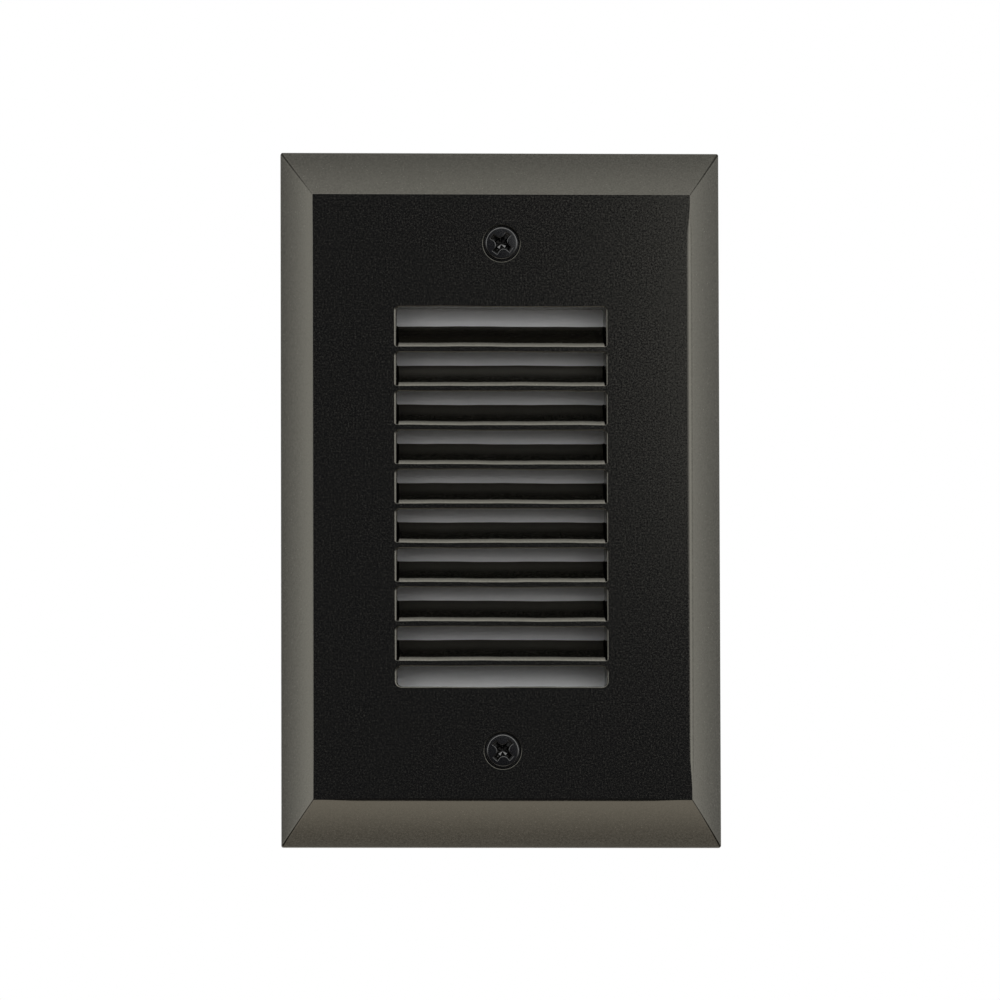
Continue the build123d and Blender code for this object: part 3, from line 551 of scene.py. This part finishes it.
def straight(half_x, half_z, depths, corner=SQUARE_CORNER, x=0.0, z=0.0):
    """Rings of a rounded rectangle that keeps its size from depth to depth."""
    sides = [[(place, y) for y in depths] for place in (x + half_x, z + half_z, x - half_x, z - half_z)]
    return carry(*sides, [corner] * 4)


for x in (-HOUSING_SCREW_X, HOUSING_SCREW_X):
    for z in (-HOUSING_SCREW_Z, HOUSING_SCREW_Z):
        boss = straight(HOUSING_BOSS, HOUSING_BOSS, [INNER_Y, FLANGE_Y], x=x, z=z)
        pilot = circles([(PILOT, FLANGE_Y), (PILOT, PILOT_Y)], x, z, PILOT_SIDES)
        hole_ends.append(boss[0])
        plate_surfaces += [skin(boss), skin(pilot), fill(boss[-1], [pilot[0]]), fill(pilot[-1])]
print("holes in the plate's back", len(hole_ends))

# %% Lens seat and rib
RELIEF = 0.3                # how much wider the seat's bore is than the slots
SEAT_WIDTH = 2.0
SEAT_DEPTH = 4.6
SEAT_Y = FACE_Y + SEAT_DEPTH
RIB_Y = -3.9
RIB_INNER = (21.3, 34.6)
RIB_WIDTH = 1.6
RIB_CORNER = 3.0
bore_x, bore_z = HALF_WINDOW + RELIEF, HALF_WINDOW_HEIGHT + RELIEF
seat_x, seat_z = HALF_WINDOW + SEAT_WIDTH, HALF_WINDOW_HEIGHT + SEAT_WIDTH
seat_bore = straight(bore_x, bore_z, [BLADE_BACK, SEAT_Y])
seat_wall = straight(seat_x, seat_z, [SEAT_Y, INNER_Y])
rib_inner = straight(*RIB_INNER, [INNER_Y, RIB_Y], RIB_CORNER)
rib_outer = straight(*(half + RIB_WIDTH for half in RIB_INNER), [INNER_Y, RIB_Y], RIB_CORNER + RIB_WIDTH)
plate_surfaces += [skin(rings) for rings in (seat_bore, seat_wall, rib_inner, rib_outer)]
print("surfaces of the plate", len(plate_surfaces))

# %% Close the plate
plate_surfaces += [
    fill(plate_rings[0], [rings[0] for rings in slots] + counterbores),
    fill(seat_bore[0], [rings[-1] for rings in slots]),
    fill(seat_wall[0], [seat_bore[-1]]),
    fill(rib_inner[0], [seat_wall[-1]]),
    fill(rib_outer[-1], [rib_inner[-1]]),
    fill(plate_rings[-1], [rib_outer[0]] + hole_ends),
]
faceplate = weld("faceplate_cast", plate_surfaces, "light", "faceplate")

# %% [markdown]
# ## The face screws
#
# A screw that holds a wall plate has a low domed head with a cross recess, a plain neck
# and a rolled thread. Everything on it is a ring round its axis, so it is one grid of
# place and level. The rings of the recess are crosses, and those on the dome turn bit by
# bit from the cross into a circle. The thread is a wave in the radius that turns once per
# pitch. A cross is shorter to write in complex numbers, where to turn is to multiply.

# %% Sizes of the screws
WASHER_THICKNESS = 0.4
WASHER_Y = FACE_Y + COUNTERBORE_DEPTH - WASHER_THICKNESS
HEAD_RADIUS = 2.65
HEAD_HEIGHT = 1.0
HEAD_CROWN = 0.06
HEAD_EDGE = 0.22
NECK_RADIUS = 1.5
THREAD_CREST = 1.75
THREAD_ROOT = 1.36
THREAD_PITCH = 25.4 / 32    # 32 turns to the inch
THREAD_START = 0.3
THREAD_LAND = 0.2           # share of the pitch over which the crest is flat
SCREW_LENGTH = 19.05
RECESS_SPAN = 3.8
BITE_RADIUS = 0.97          # the metal between two wings is a round nose of this radius
BITE_MIDDLE = 1.90          # whose middle lies this far from the screw's
RECESS_EDGE = 0.12          # softened edge of the recess's mouth
RECESS_WALL = [             # size of the recess as a share of its mouth, and how deep that is
    (0.0005, 1.75),
    (0.42, 1.5),
    (0.60, 1.0),
    (0.80, 0.5),
    (0.88, 0.32),
]
RECESS_TURN = {"upper": 10.0, "lower": 3.0}
NOSE_POINTS = 17            # points round a nose
WING_SIDE_POINTS = 5        # along a wing's side
WING_END_POINTS = 7         # and across its end
MOUTH_LEVELS = 5            # levels over the mouth's softened edge
DOME_LEVELS = 9             # over the dome
RIM_LEVELS = 6              # and round the rim
TURN_STEPS = 12             # levels for each turn of the thread
TIP_BEVEL = 0.15
print("thread pitch", round(THREAD_PITCH, 3), "mm")


# %% The recess's outline
def cross(turn):
    """The recess's outline at its mouth: a cross with hollow sides, as complex numbers x + iz.

    A quarter of it is the near side of a circle, from one tangent through the screw's
    middle to the other, then a run out along that tangent, the wing's flat end, and the
    next run back, which mirrors the first in the wing's axis.
    """
    widest = math.acos(BITE_RADIUS / BITE_MIDDLE)
    tangent = math.pi / 2 - widest
    wing = math.pi / 4 - tangent
    nose = BITE_MIDDLE - BITE_RADIUS * np.exp(-1j * np.linspace(-widest, widest, NOSE_POINTS))
    along = np.linspace(abs(nose[0]), RECESS_SPAN / 2 / math.cos(wing), WING_SIDE_POINTS)[1:-1]
    run = along * np.exp(1j * tangent)
    across = np.tan(np.linspace(-wing, wing, WING_END_POINTS))
    flat = RECESS_SPAN / 2 * (1 + 1j * across) * np.exp(1j * math.pi / 4)
    quarter = np.concatenate([nose, run, flat, 1j * run.conj()[::-1]])
    quarters = 1j ** np.arange(4)[:, None] * quarter
    return quarters.ravel() * np.exp(1j * math.radians(turn))


print("the recess has", len(cross(0)), "points")


# %% Levels of the head and the shank
def dome(ring):
    """Depth of the head's dome, which is a sphere cap, at places x + iz off the screw's axis."""
    sphere = (HEAD_RADIUS**2 + HEAD_CROWN**2) / (2 * HEAD_CROWN)
    return WASHER_Y - HEAD_HEIGHT - HEAD_CROWN + sphere - np.sqrt(sphere**2 - np.abs(ring) ** 2)


def head_levels(mouth, circle):
    """Levels of the head, as places x + iz and a depth: the recess, its edge, the dome and the rim.

    Over the dome each point goes straight from the cross to its own place on the circle.
    """
    along = np.roll(mouth, -1) - np.roll(mouth, 1)
    outward = -1j * along / np.abs(along)
    levels = [(mouth * share, dome(0) + depth) for share, depth in RECESS_WALL]
    for t in np.linspace(0, math.pi / 2, MOUTH_LEVELS):
        ring = mouth + outward * RECESS_EDGE * (1 - math.cos(t))
        levels.append((ring, dome(ring) + RECESS_EDGE * (1 - math.sin(t))))
    inner, edge = ring, circle * (HEAD_RADIUS - HEAD_EDGE)
    for t in np.linspace(0, 1, DOME_LEVELS)[1:]:
        ring = inner + (edge - inner) * t
        levels.append((ring, dome(ring)))
    for t in np.linspace(0, math.pi / 2, RIM_LEVELS)[1:]:
        levels.append((edge + circle * HEAD_EDGE * math.sin(t), dome(edge) + HEAD_EDGE * (1 - math.cos(t))))
    return levels


def shank_levels(circle):
    """Levels of the neck and of the thread.

    The thread's phase is depth over pitch plus angle over a turn. From its flat crest it
    slopes evenly to the root, and it fades in and out over one pitch at either end.
    """
    tip = WASHER_Y + SCREW_LENGTH
    neck = [(HEAD_RADIUS, WASHER_Y), (NECK_RADIUS, WASHER_Y), (NECK_RADIUS, THREAD_START)]
    levels = [(circle * radius, depth) for radius, depth in neck]
    count = round((tip - THREAD_START) / THREAD_PITCH * TURN_STEPS)
    for depth in np.linspace(THREAD_START, tip, count)[1:]:
        phase = (depth / THREAD_PITCH + np.angle(circle) / (2 * math.pi)) % 1
        flank = np.clip((1 - 2 * np.abs(phase - 0.5)) / (1 - THREAD_LAND), 0, 1)
        fade = np.clip(min(depth - THREAD_START, tip - depth) / THREAD_PITCH, 0, 1)
        radius = THREAD_ROOT + (THREAD_CREST - THREAD_ROOT) * flank * fade
        levels.append((circle * radius, depth))
    levels.append((circle * (THREAD_ROOT - TIP_BEVEL), tip))
    return levels


def screw_rings(turn):
    """Rings of one face screw on the line x = z = 0, from the bottom of the recess to the tip."""
    mouth = cross(turn)
    around = len(mouth)
    steps = np.arange(around) - NOSE_POINTS // 2
    circle = np.exp(1j * (2 * math.pi * steps / around + math.radians(turn)))
    levels = head_levels(mouth, circle) + shank_levels(circle)
    plane = np.array([ring for ring, _ in levels])
    depth = np.array([np.broadcast_to(deep, around) for _, deep in levels])
    return np.stack([plane.real, depth, plane.imag], axis=-1)


print("a screw is a grid of", screw_rings(0).shape)

# %% Make both screws
SHARP_ON_SCREWS = 30.0      # degrees: a sharper bend than this stays an edge
face_screws = {}
for side, z in (("upper", SCREW_Z), ("lower", -SCREW_Z)):
    rings = screw_rings(RECESS_TURN[side]) + [0, 0, z]
    surfaces = [skin(rings), fill(rings[0]), fill(rings[-1])]
    name = "face_screw_" + side
    body = side + "_screw"
    face_screws[side] = weld(name + "_threaded", surfaces, body, name, SHARP_ON_SCREWS)

# %% [markdown]
# ## Finishes
#
# The plate has a dark bronze powder coat with metal in it. Straight on it is nearly
# black, because the room in front of it is dark. Where a bevel leans towards the light
# it turns olive grey. That is a metal's way of reflecting, so the coat is a dark metal
# with a fine pebbled grain. The grain is a node group, because the housing, the screws
# and the plastics use it too, each with its own size and depth.

# %% A shared grain
NOISE_DETAIL = 3.0          # how many finer layers lie over the noise
NOISE_ROUGHNESS = 0.6       # and how strong each is beside the one before
GRAIN_INPUTS = {            # what each finish can set, and its value if it doesn't
    "Scale": 2500.0,
    "Depth": 0.02,
    "Colour Change": 0.1,
    "Roughness": 0.4,
    "Roughness Change": 0.1,
}


def math_node(tree, operation, *values):
    """The output of a new Math node, whose values are numbers or other nodes' outputs."""
    node = tree.nodes.new("ShaderNodeMath")
    node.operation = operation
    for socket, value in zip(node.inputs, values):
        if isinstance(value, bpy.types.NodeSocket):
            tree.links.new(value, socket)
        else:
            socket.default_value = value
    return node.outputs[0]


def add_group():
    """A group with a fine grain: it puts out a colour that varies, a roughness that varies, and a normal."""
    tree = bpy.data.node_groups.new("grain", "ShaderNodeTree")
    tree.interface.new_socket(name="Colour", in_out="INPUT", socket_type="NodeSocketColor")
    for name, value in GRAIN_INPUTS.items():
        socket = tree.interface.new_socket(name=name, in_out="INPUT", socket_type="NodeSocketFloat")
        socket.default_value = value
    for name, kind in (("Colour", "Color"), ("Roughness", "Float"), ("Normal", "Vector")):
        tree.interface.new_socket(name=name, in_out="OUTPUT", socket_type="NodeSocket" + kind)
    new, link = tree.nodes.new, tree.links.new
    given, result = new("NodeGroupInput"), new("NodeGroupOutput")
    place = new("ShaderNodeTexCoord")

    noise = new("ShaderNodeTexNoise")
    noise.inputs["Detail"].default_value = NOISE_DETAIL
    noise.inputs["Roughness"].default_value = NOISE_ROUGHNESS
    link(place.outputs["Object"], noise.inputs["Vector"])
    link(given.outputs["Scale"], noise.inputs["Scale"])
    grain = noise.outputs["Fac"]

    def around_one(amount):
        """1 + (grain - 0.5) * amount: a factor that stays near one."""
        centred = math_node(tree, "SUBTRACT", grain, 0.5)
        return math_node(tree, "MULTIPLY_ADD", centred, amount, 1.0)

    tint = new("ShaderNodeVectorMath")
    tint.operation = "SCALE"
    link(given.outputs["Colour"], tint.inputs[0])
    link(around_one(given.outputs["Colour Change"]), tint.inputs["Scale"])
    link(tint.outputs[0], result.inputs["Colour"])

    uneven = around_one(given.outputs["Roughness Change"])
    link(math_node(tree, "MULTIPLY", given.outputs["Roughness"], uneven), result.inputs["Roughness"])

    bump = new("ShaderNodeBump")
    bump.inputs["Distance"].default_value = 1.0
    height = math_node(tree, "MULTIPLY", grain, given.outputs["Depth"])
    link(math_node(tree, "MULTIPLY", height, MM), bump.inputs["Height"])
    link(bump.outputs[0], result.inputs["Normal"])
    return tree


GRAIN = add_group()
print("grain", len(GRAIN.nodes), "nodes")


# %% Make a finish and put it on
def finish_of(
    name, colour, roughness, metallic=0.0, scale=2500.0, depth=0.02, change=0.1, vary=0.15, **sockets
):
    """A material: its own shader with plain values, and the shared grain for what varies over it.

    The grain's depth is in millimetres. `change` and `vary` say how much it changes the
    colour and the roughness.
    """
    material = bpy.data.materials.new(name)
    material.use_nodes = True
    tree = material.node_tree
    shader = tree.nodes["Principled BSDF"]
    shader.inputs["Metallic"].default_value = metallic
    for socket, value in sockets.items():
        shader.inputs[socket.replace("_", " ")].default_value = value
    group = tree.nodes.new("ShaderNodeGroup")
    group.node_tree = GRAIN
    group.inputs["Colour"].default_value = (*colour, 1)
    group.inputs["Scale"].default_value = scale
    group.inputs["Depth"].default_value = depth
    group.inputs["Colour Change"].default_value = change
    group.inputs["Roughness"].default_value = roughness
    group.inputs["Roughness Change"].default_value = vary
    tree.links.new(group.outputs["Colour"], shader.inputs["Base Color"])
    tree.links.new(group.outputs["Roughness"], shader.inputs["Roughness"])
    tree.links.new(group.outputs["Normal"], shader.inputs["Normal"])
    return material


def put_on(piece, material):
    """Gives a piece one material, in its own material slot."""
    if not piece.data.materials:
        piece.data.materials.append(material)
    piece.material_slots[0].material = material


# %% [markdown]
# The coat's speckle comes from a colour and a roughness that change a lot from grain to
# grain, over shallow bumps. The screws' black oxide is a dark metal too, with less
# speckle. Both were tuned by comparing renders with the photograph.

# %% The plate and its screws
coat = finish_of(
    "bronze_coat", (0.138, 0.133, 0.114), 0.165, metallic=0.98, scale=3600, depth=0.004, change=0.9, vary=3.0
)
black_oxide = finish_of(
    "black_oxide", (0.12, 0.12, 0.118), 0.2, metallic=1.0, scale=4200, depth=0.002, change=0.4, vary=0.8
)
put_on(faceplate, coat)
for screw in face_screws.values():
    put_on(screw, black_oxide)
print(coat.name, "on the plate and", black_oxide.name, "on", len(face_screws), "screws")

# %% [markdown]
# ## Everything behind the plate
#
# The other pieces keep their solids' shapes. Each gets the finish of its real material.
# Most are hidden once the light is closed, but a part that is opened on a bench shows
# them all. The lens shows between the blades. Frosted plastic takes light in and lets it
# out again a little further on, so the lens scatters light under its surface.

# %% Finishes of the other pieces
FINISHES = {
    "closed_cell_foam": dict(
        colour=(0.022, 0.022, 0.023), roughness=0.92, scale=1600, depth=0.12, change=0.5,
    ),
    "black_nylon": dict(colour=(0.018, 0.018, 0.018), roughness=0.5, scale=2000, depth=0.005),
    "silicone": dict(colour=(0.72, 0.72, 0.69), roughness=0.45, scale=1200, depth=0.01),
    "frosted_lens": dict(
        colour=(0.90, 0.91, 0.93), roughness=0.6, scale=3500, depth=0.01, change=0.05,
        Subsurface_Weight=1.0, Subsurface_Radius=(1, 1, 1), Subsurface_Scale=0.0012,
    ),
    "cast_housing": dict(colour=(0.03, 0.03, 0.031), roughness=0.42, scale=1500, depth=0.08, change=0.3),
    "bright_screw": dict(colour=(0.62, 0.63, 0.65), roughness=0.28, metallic=1.0, scale=3000, depth=0.004),
    "white_reflector": dict(colour=(0.86, 0.86, 0.84), roughness=0.3, scale=800, depth=0.004, change=0.03),
    "led_board_white": dict(colour=(0.82, 0.82, 0.80), roughness=0.4, scale=1500, depth=0.004, change=0.04),
    "led_package": dict(colour=(0.88, 0.74, 0.25), roughness=0.3, scale=2000, depth=0.004, change=0.06),
    "thermal_pad_grey": dict(colour=(0.36, 0.38, 0.42), roughness=0.8, scale=1200, depth=0.03),
    "bare_aluminium": dict(colour=(0.72, 0.72, 0.72), roughness=0.35, metallic=1.0, scale=900, depth=0.008),
    "insulator_paper": dict(colour=(0.28, 0.36, 0.30), roughness=0.75, scale=900, depth=0.02, change=0.2),
    "red_lead": dict(colour=(0.50, 0.03, 0.02), roughness=0.4, scale=1500, depth=0.004),
    "black_lead": dict(colour=(0.02, 0.02, 0.02), roughness=0.4, scale=1500, depth=0.004),
    "green_board": dict(colour=(0.02, 0.16, 0.05), roughness=0.35, scale=1200, depth=0.006, change=0.2),
    "ferrite": dict(colour=(0.05, 0.05, 0.05), roughness=0.7, scale=1800, depth=0.03),
    "copper_winding": dict(colour=(0.60, 0.24, 0.10), roughness=0.3, metallic=1.0, scale=1600, depth=0.03),
    "capacitor_sleeve": dict(colour=(0.02, 0.02, 0.035), roughness=0.3, scale=1200, depth=0.004),
    "film_box": dict(colour=(0.70, 0.50, 0.06), roughness=0.35, scale=1500, depth=0.006),
    "varistor_coat": dict(colour=(0.03, 0.09, 0.42), roughness=0.3, scale=900, depth=0.02),
    "resistor_body": dict(colour=(0.22, 0.42, 0.48), roughness=0.35, scale=1200, depth=0.008),
    "chip_black": dict(colour=(0.02, 0.02, 0.02), roughness=0.55, scale=2600, depth=0.01),
    "ceramic_tan": dict(colour=(0.45, 0.34, 0.22), roughness=0.5, scale=2600, depth=0.006),
    "terminal_white": dict(colour=(0.80, 0.80, 0.76), roughness=0.4, scale=1500, depth=0.005),
    "black_rubber": dict(colour=(0.015, 0.015, 0.015), roughness=0.65, scale=1800, depth=0.02),
    "ground_green": dict(colour=(0.03, 0.20, 0.06), roughness=0.3, metallic=0.7, scale=2500, depth=0.006),
}
slot_of = {row["node"]: row["material_slot"] for row in frame["record"]["subparts"]}
made = {slot: finish_of(slot, **values) for slot, values in FINISHES.items()}
for node, piece in nodes.items():
    slot = slot_of[node]
    if slot in made:
        put_on(piece, made[slot])
print("other finishes", len(made))

# %% [markdown]
# ## Light, floor and background
#
# The picture is lit like most small metal goods. Bright panels stand at the sides, above
# and below, with dark gaps on the diagonals between them, and the room behind the camera
# is dark. Metal shows what stands round it, so the panels are painted on the surroundings
# as ramps of brightness over the angle off the front. The place of a direction on the
# clock, as one faces the light, chooses its panel. The camera itself sees plain white.

# %% Brightness of each panel, by degrees off the front
BRIGHTEST = 1.6                     # the ramps are divided by it, so that none goes above one
AHEAD = (0.028, 0.030, 0.040)       # the dark room in front, a little blue
BEHIND = (180, 0.70)
LEFT = [
    (0, AHEAD), (16, AHEAD), (30, 0.25), (66, 0.35), (77, 1.26),
    (84, 1.26), (94, 0.80), (106, 0.42), (135, 0.35), BEHIND,
]
RIGHT = [
    (0, AHEAD), (10, 0.07), (21, 0.28), (33, 0.46), (73, 0.95),
    (84, 1.30), (98, 0.80), (110, 0.50), (135, 1.0), BEHIND,
]
DOWN = [
    (0, AHEAD), (18, AHEAD), (45, 0.06), (53, 0.70), (59, 1.0),
    (66, 0.74), (73, 0.46), (80, 0.37), (135, 0.40), BEHIND,
]
SHADE = [(0, AHEAD), (18, AHEAD), (40, 0.12), (90, 0.20), (135, 0.40), BEHIND]
UP = [
    (0, AHEAD), (17, AHEAD), (24, 1.0), (30, 1.60), (50, 1.50), (55, 1.40),
    (62, 1.0), (76, 0.80), (88, 0.50), (130, 1.2), BEHIND,
]
WARM = (1.0, 0.93, 0.85)            # tint of what lies below
print("stops of the ramps", [len(stops) for stops in (LEFT, RIGHT, DOWN, SHADE, UP)])

# %% Where a direction points
NOT_ZERO = 1e-5                     # keeps the division below from a zero straight ahead
world = bpy.data.worlds.new("tent")
bpy.context.scene.world = world
world.use_nodes = True
tree = world.node_tree
tree.nodes.clear()
new, link = tree.nodes.new, tree.links.new


def sums(operation, *values):
    """The output of a new Math node of the surroundings."""
    return math_node(tree, operation, *values)


direction = new("ShaderNodeTexCoord")
split = new("ShaderNodeSeparateXYZ")
link(direction.outputs["Generated"], split.inputs[0])
x, y, z = (split.outputs[axis] for axis in "XYZ")
off_axis = sums("SQRT", sums("ADD", sums("MULTIPLY", x, x), sums("MULTIPLY_ADD", z, z, NOT_ZERO)))
upward = sums("DIVIDE", z, off_axis)
downward = sums("MULTIPLY", upward, -1.0)
print("nodes so far", len(tree.nodes))


# %% Ramps and mixes
def rise(value, low, high):
    """Goes smoothly from 0 to 1 as a value goes from low to high."""
    node = new("ShaderNodeMapRange")
    node.interpolation_type = "SMOOTHSTEP"
    link(value, node.inputs["Value"])
    node.inputs["From Min"].default_value = low
    node.inputs["From Max"].default_value = high
    return node.outputs["Result"]


def panel(stops, tint=(1.0, 1.0, 1.0)):
    """The colour in a direction, by its angle off the front: a ramp over (1 - cos angle) / 2."""
    node = new("ShaderNodeValToRGB")
    elements = node.color_ramp.elements
    for angle, _ in stops[1:-1]:
        elements.new((1 - math.cos(math.radians(angle))) / 2)
    for element, (_, light) in zip(elements, stops):
        element.color = (*(np.array(tint) * light / BRIGHTEST), 1)
    link(sums("MULTIPLY_ADD", y, 0.5, 0.5), node.inputs[0])
    return node.outputs["Color"]


def blend(first, second, share):
    """A mix of two colours."""
    node = new("ShaderNodeMix")
    node.data_type = "RGBA"
    link(share, node.inputs["Factor"])
    link(first, node.inputs["A"])
    link(second, node.inputs["B"])
    return node.outputs["Result"]


# %% Paint the panels
SIDE_TURN = (-0.1, 0.1)     # x of a direction, over which the left panel gives way to the right one
SHADE_TURN = (0.0, 0.35)    # how far down on the clock: the sides give way to the shade
DOWN_TURN = (0.7, 0.95)     # and the shade to the lower panel
UP_TURN = (0.07, 0.32)      # how far up on the clock: what lies below gives way to the upper panel
UP_REACH = 0.14             # how much further down it comes near the front
REACH_TURN = (0.3, 0.7)     # cosine of the angle off the front, over which that grows
sides = blend(panel(LEFT), panel(RIGHT), rise(x, *SIDE_TURN))
shaded = blend(sides, panel(SHADE, WARM), rise(downward, *SHADE_TURN))
lower = blend(shaded, panel(DOWN, WARM), rise(downward, *DOWN_TURN))
ahead = rise(sums("MULTIPLY", y, -1.0), *REACH_TURN)
around = blend(lower, panel(UP), rise(sums("MULTIPLY_ADD", ahead, UP_REACH, upward), *UP_TURN))
print("nodes so far", len(tree.nodes))

# %% Darken the diagonals and finish the surroundings
SEAM = 0.75                 # how much darker it is on the diagonals
SEAM_TURN = (0.2, 0.45)     # sine times cosine of the clock's angle, over which that grows
SEAM_START = (-0.6, -0.4)   # and y of a direction: nearer to the front there is none
diagonal = sums("MULTIPLY", sums("ABSOLUTE", upward), sums("DIVIDE", sums("ABSOLUTE", x), off_axis))
seam = sums("MULTIPLY", rise(diagonal, *SEAM_TURN), rise(y, *SEAM_START))
tent = new("ShaderNodeBackground")
link(around, tent.inputs["Color"])
link(sums("MULTIPLY_ADD", seam, -SEAM * BRIGHTEST, BRIGHTEST), tent.inputs["Strength"])
plain = new("ShaderNodeBackground")
plain.inputs["Color"].default_value = (1, 1, 1, 1)
path = new("ShaderNodeLightPath")
choose = new("ShaderNodeMixShader")
link(path.outputs["Is Camera Ray"], choose.inputs[0])
link(tent.outputs[0], choose.inputs[1])
link(plain.outputs[0], choose.inputs[2])
link(choose.outputs[0], new("ShaderNodeOutputWorld").inputs["Surface"])
print("surroundings", len(tree.nodes), "nodes")

# %% [markdown]
# The lens lies behind the slots and looks out at the dark room, so it would get little
# light. A weak area lamp stands in front of it, a little to the right and above. It is
# wide for so small a part, and so its shadows have soft edges.

# %% A soft lamp at the right
LAMP_AZIMUTH = 18           # degrees to the right of the face's own line
LAMP_ELEVATION = 12         # and above it
LAMP_DISTANCE = 0.4
LAMP_SIZE = 0.12
LAMP_WATTS = 0.025
lamp = bpy.data.objects.new("lamp", bpy.data.lights.new("lamp", "AREA"))
bpy.context.scene.collection.objects.link(lamp)
towards_lamp = direction_of(LAMP_AZIMUTH, LAMP_ELEVATION)
lamp.location = face_middle + towards_lamp * LAMP_DISTANCE
lamp.rotation_euler = (-towards_lamp).to_track_quat("-Z", "Y").to_euler()
lamp.data.size = LAMP_SIZE
lamp.data.energy = LAMP_WATTS
print("lamp", round(lamp.data.energy, 3), "W")

# %% [markdown]
# The floor lies well below the light, out of the camera's own picture. It is one pale
# rectangle that throws some light back up, as a table would.

# %% Floor
FLOOR_Z = -0.6
FLOOR_FRONT = -0.12
FLOOR_BACK = 3.0
FLOOR_HALF_WIDTH = 2.5
floor_mesh = bpy.data.meshes.new("floor")
floor_corners = [
    (-FLOOR_HALF_WIDTH, FLOOR_FRONT, FLOOR_Z),
    (FLOOR_HALF_WIDTH, FLOOR_FRONT, FLOOR_Z),
    (FLOOR_HALF_WIDTH, FLOOR_BACK, FLOOR_Z),
    (-FLOOR_HALF_WIDTH, FLOOR_BACK, FLOOR_Z),
]
floor_mesh.from_pydata(floor_corners, [], [(0, 1, 2, 3)])
floor = bpy.data.objects.new("floor", floor_mesh)
bpy.context.scene.collection.objects.link(floor)
put_on(floor, finish_of("pale_floor", (0.80, 0.77, 0.74), 0.7, scale=400, depth=0.01, change=0.02))
print("floor at", FLOOR_Z, "m")
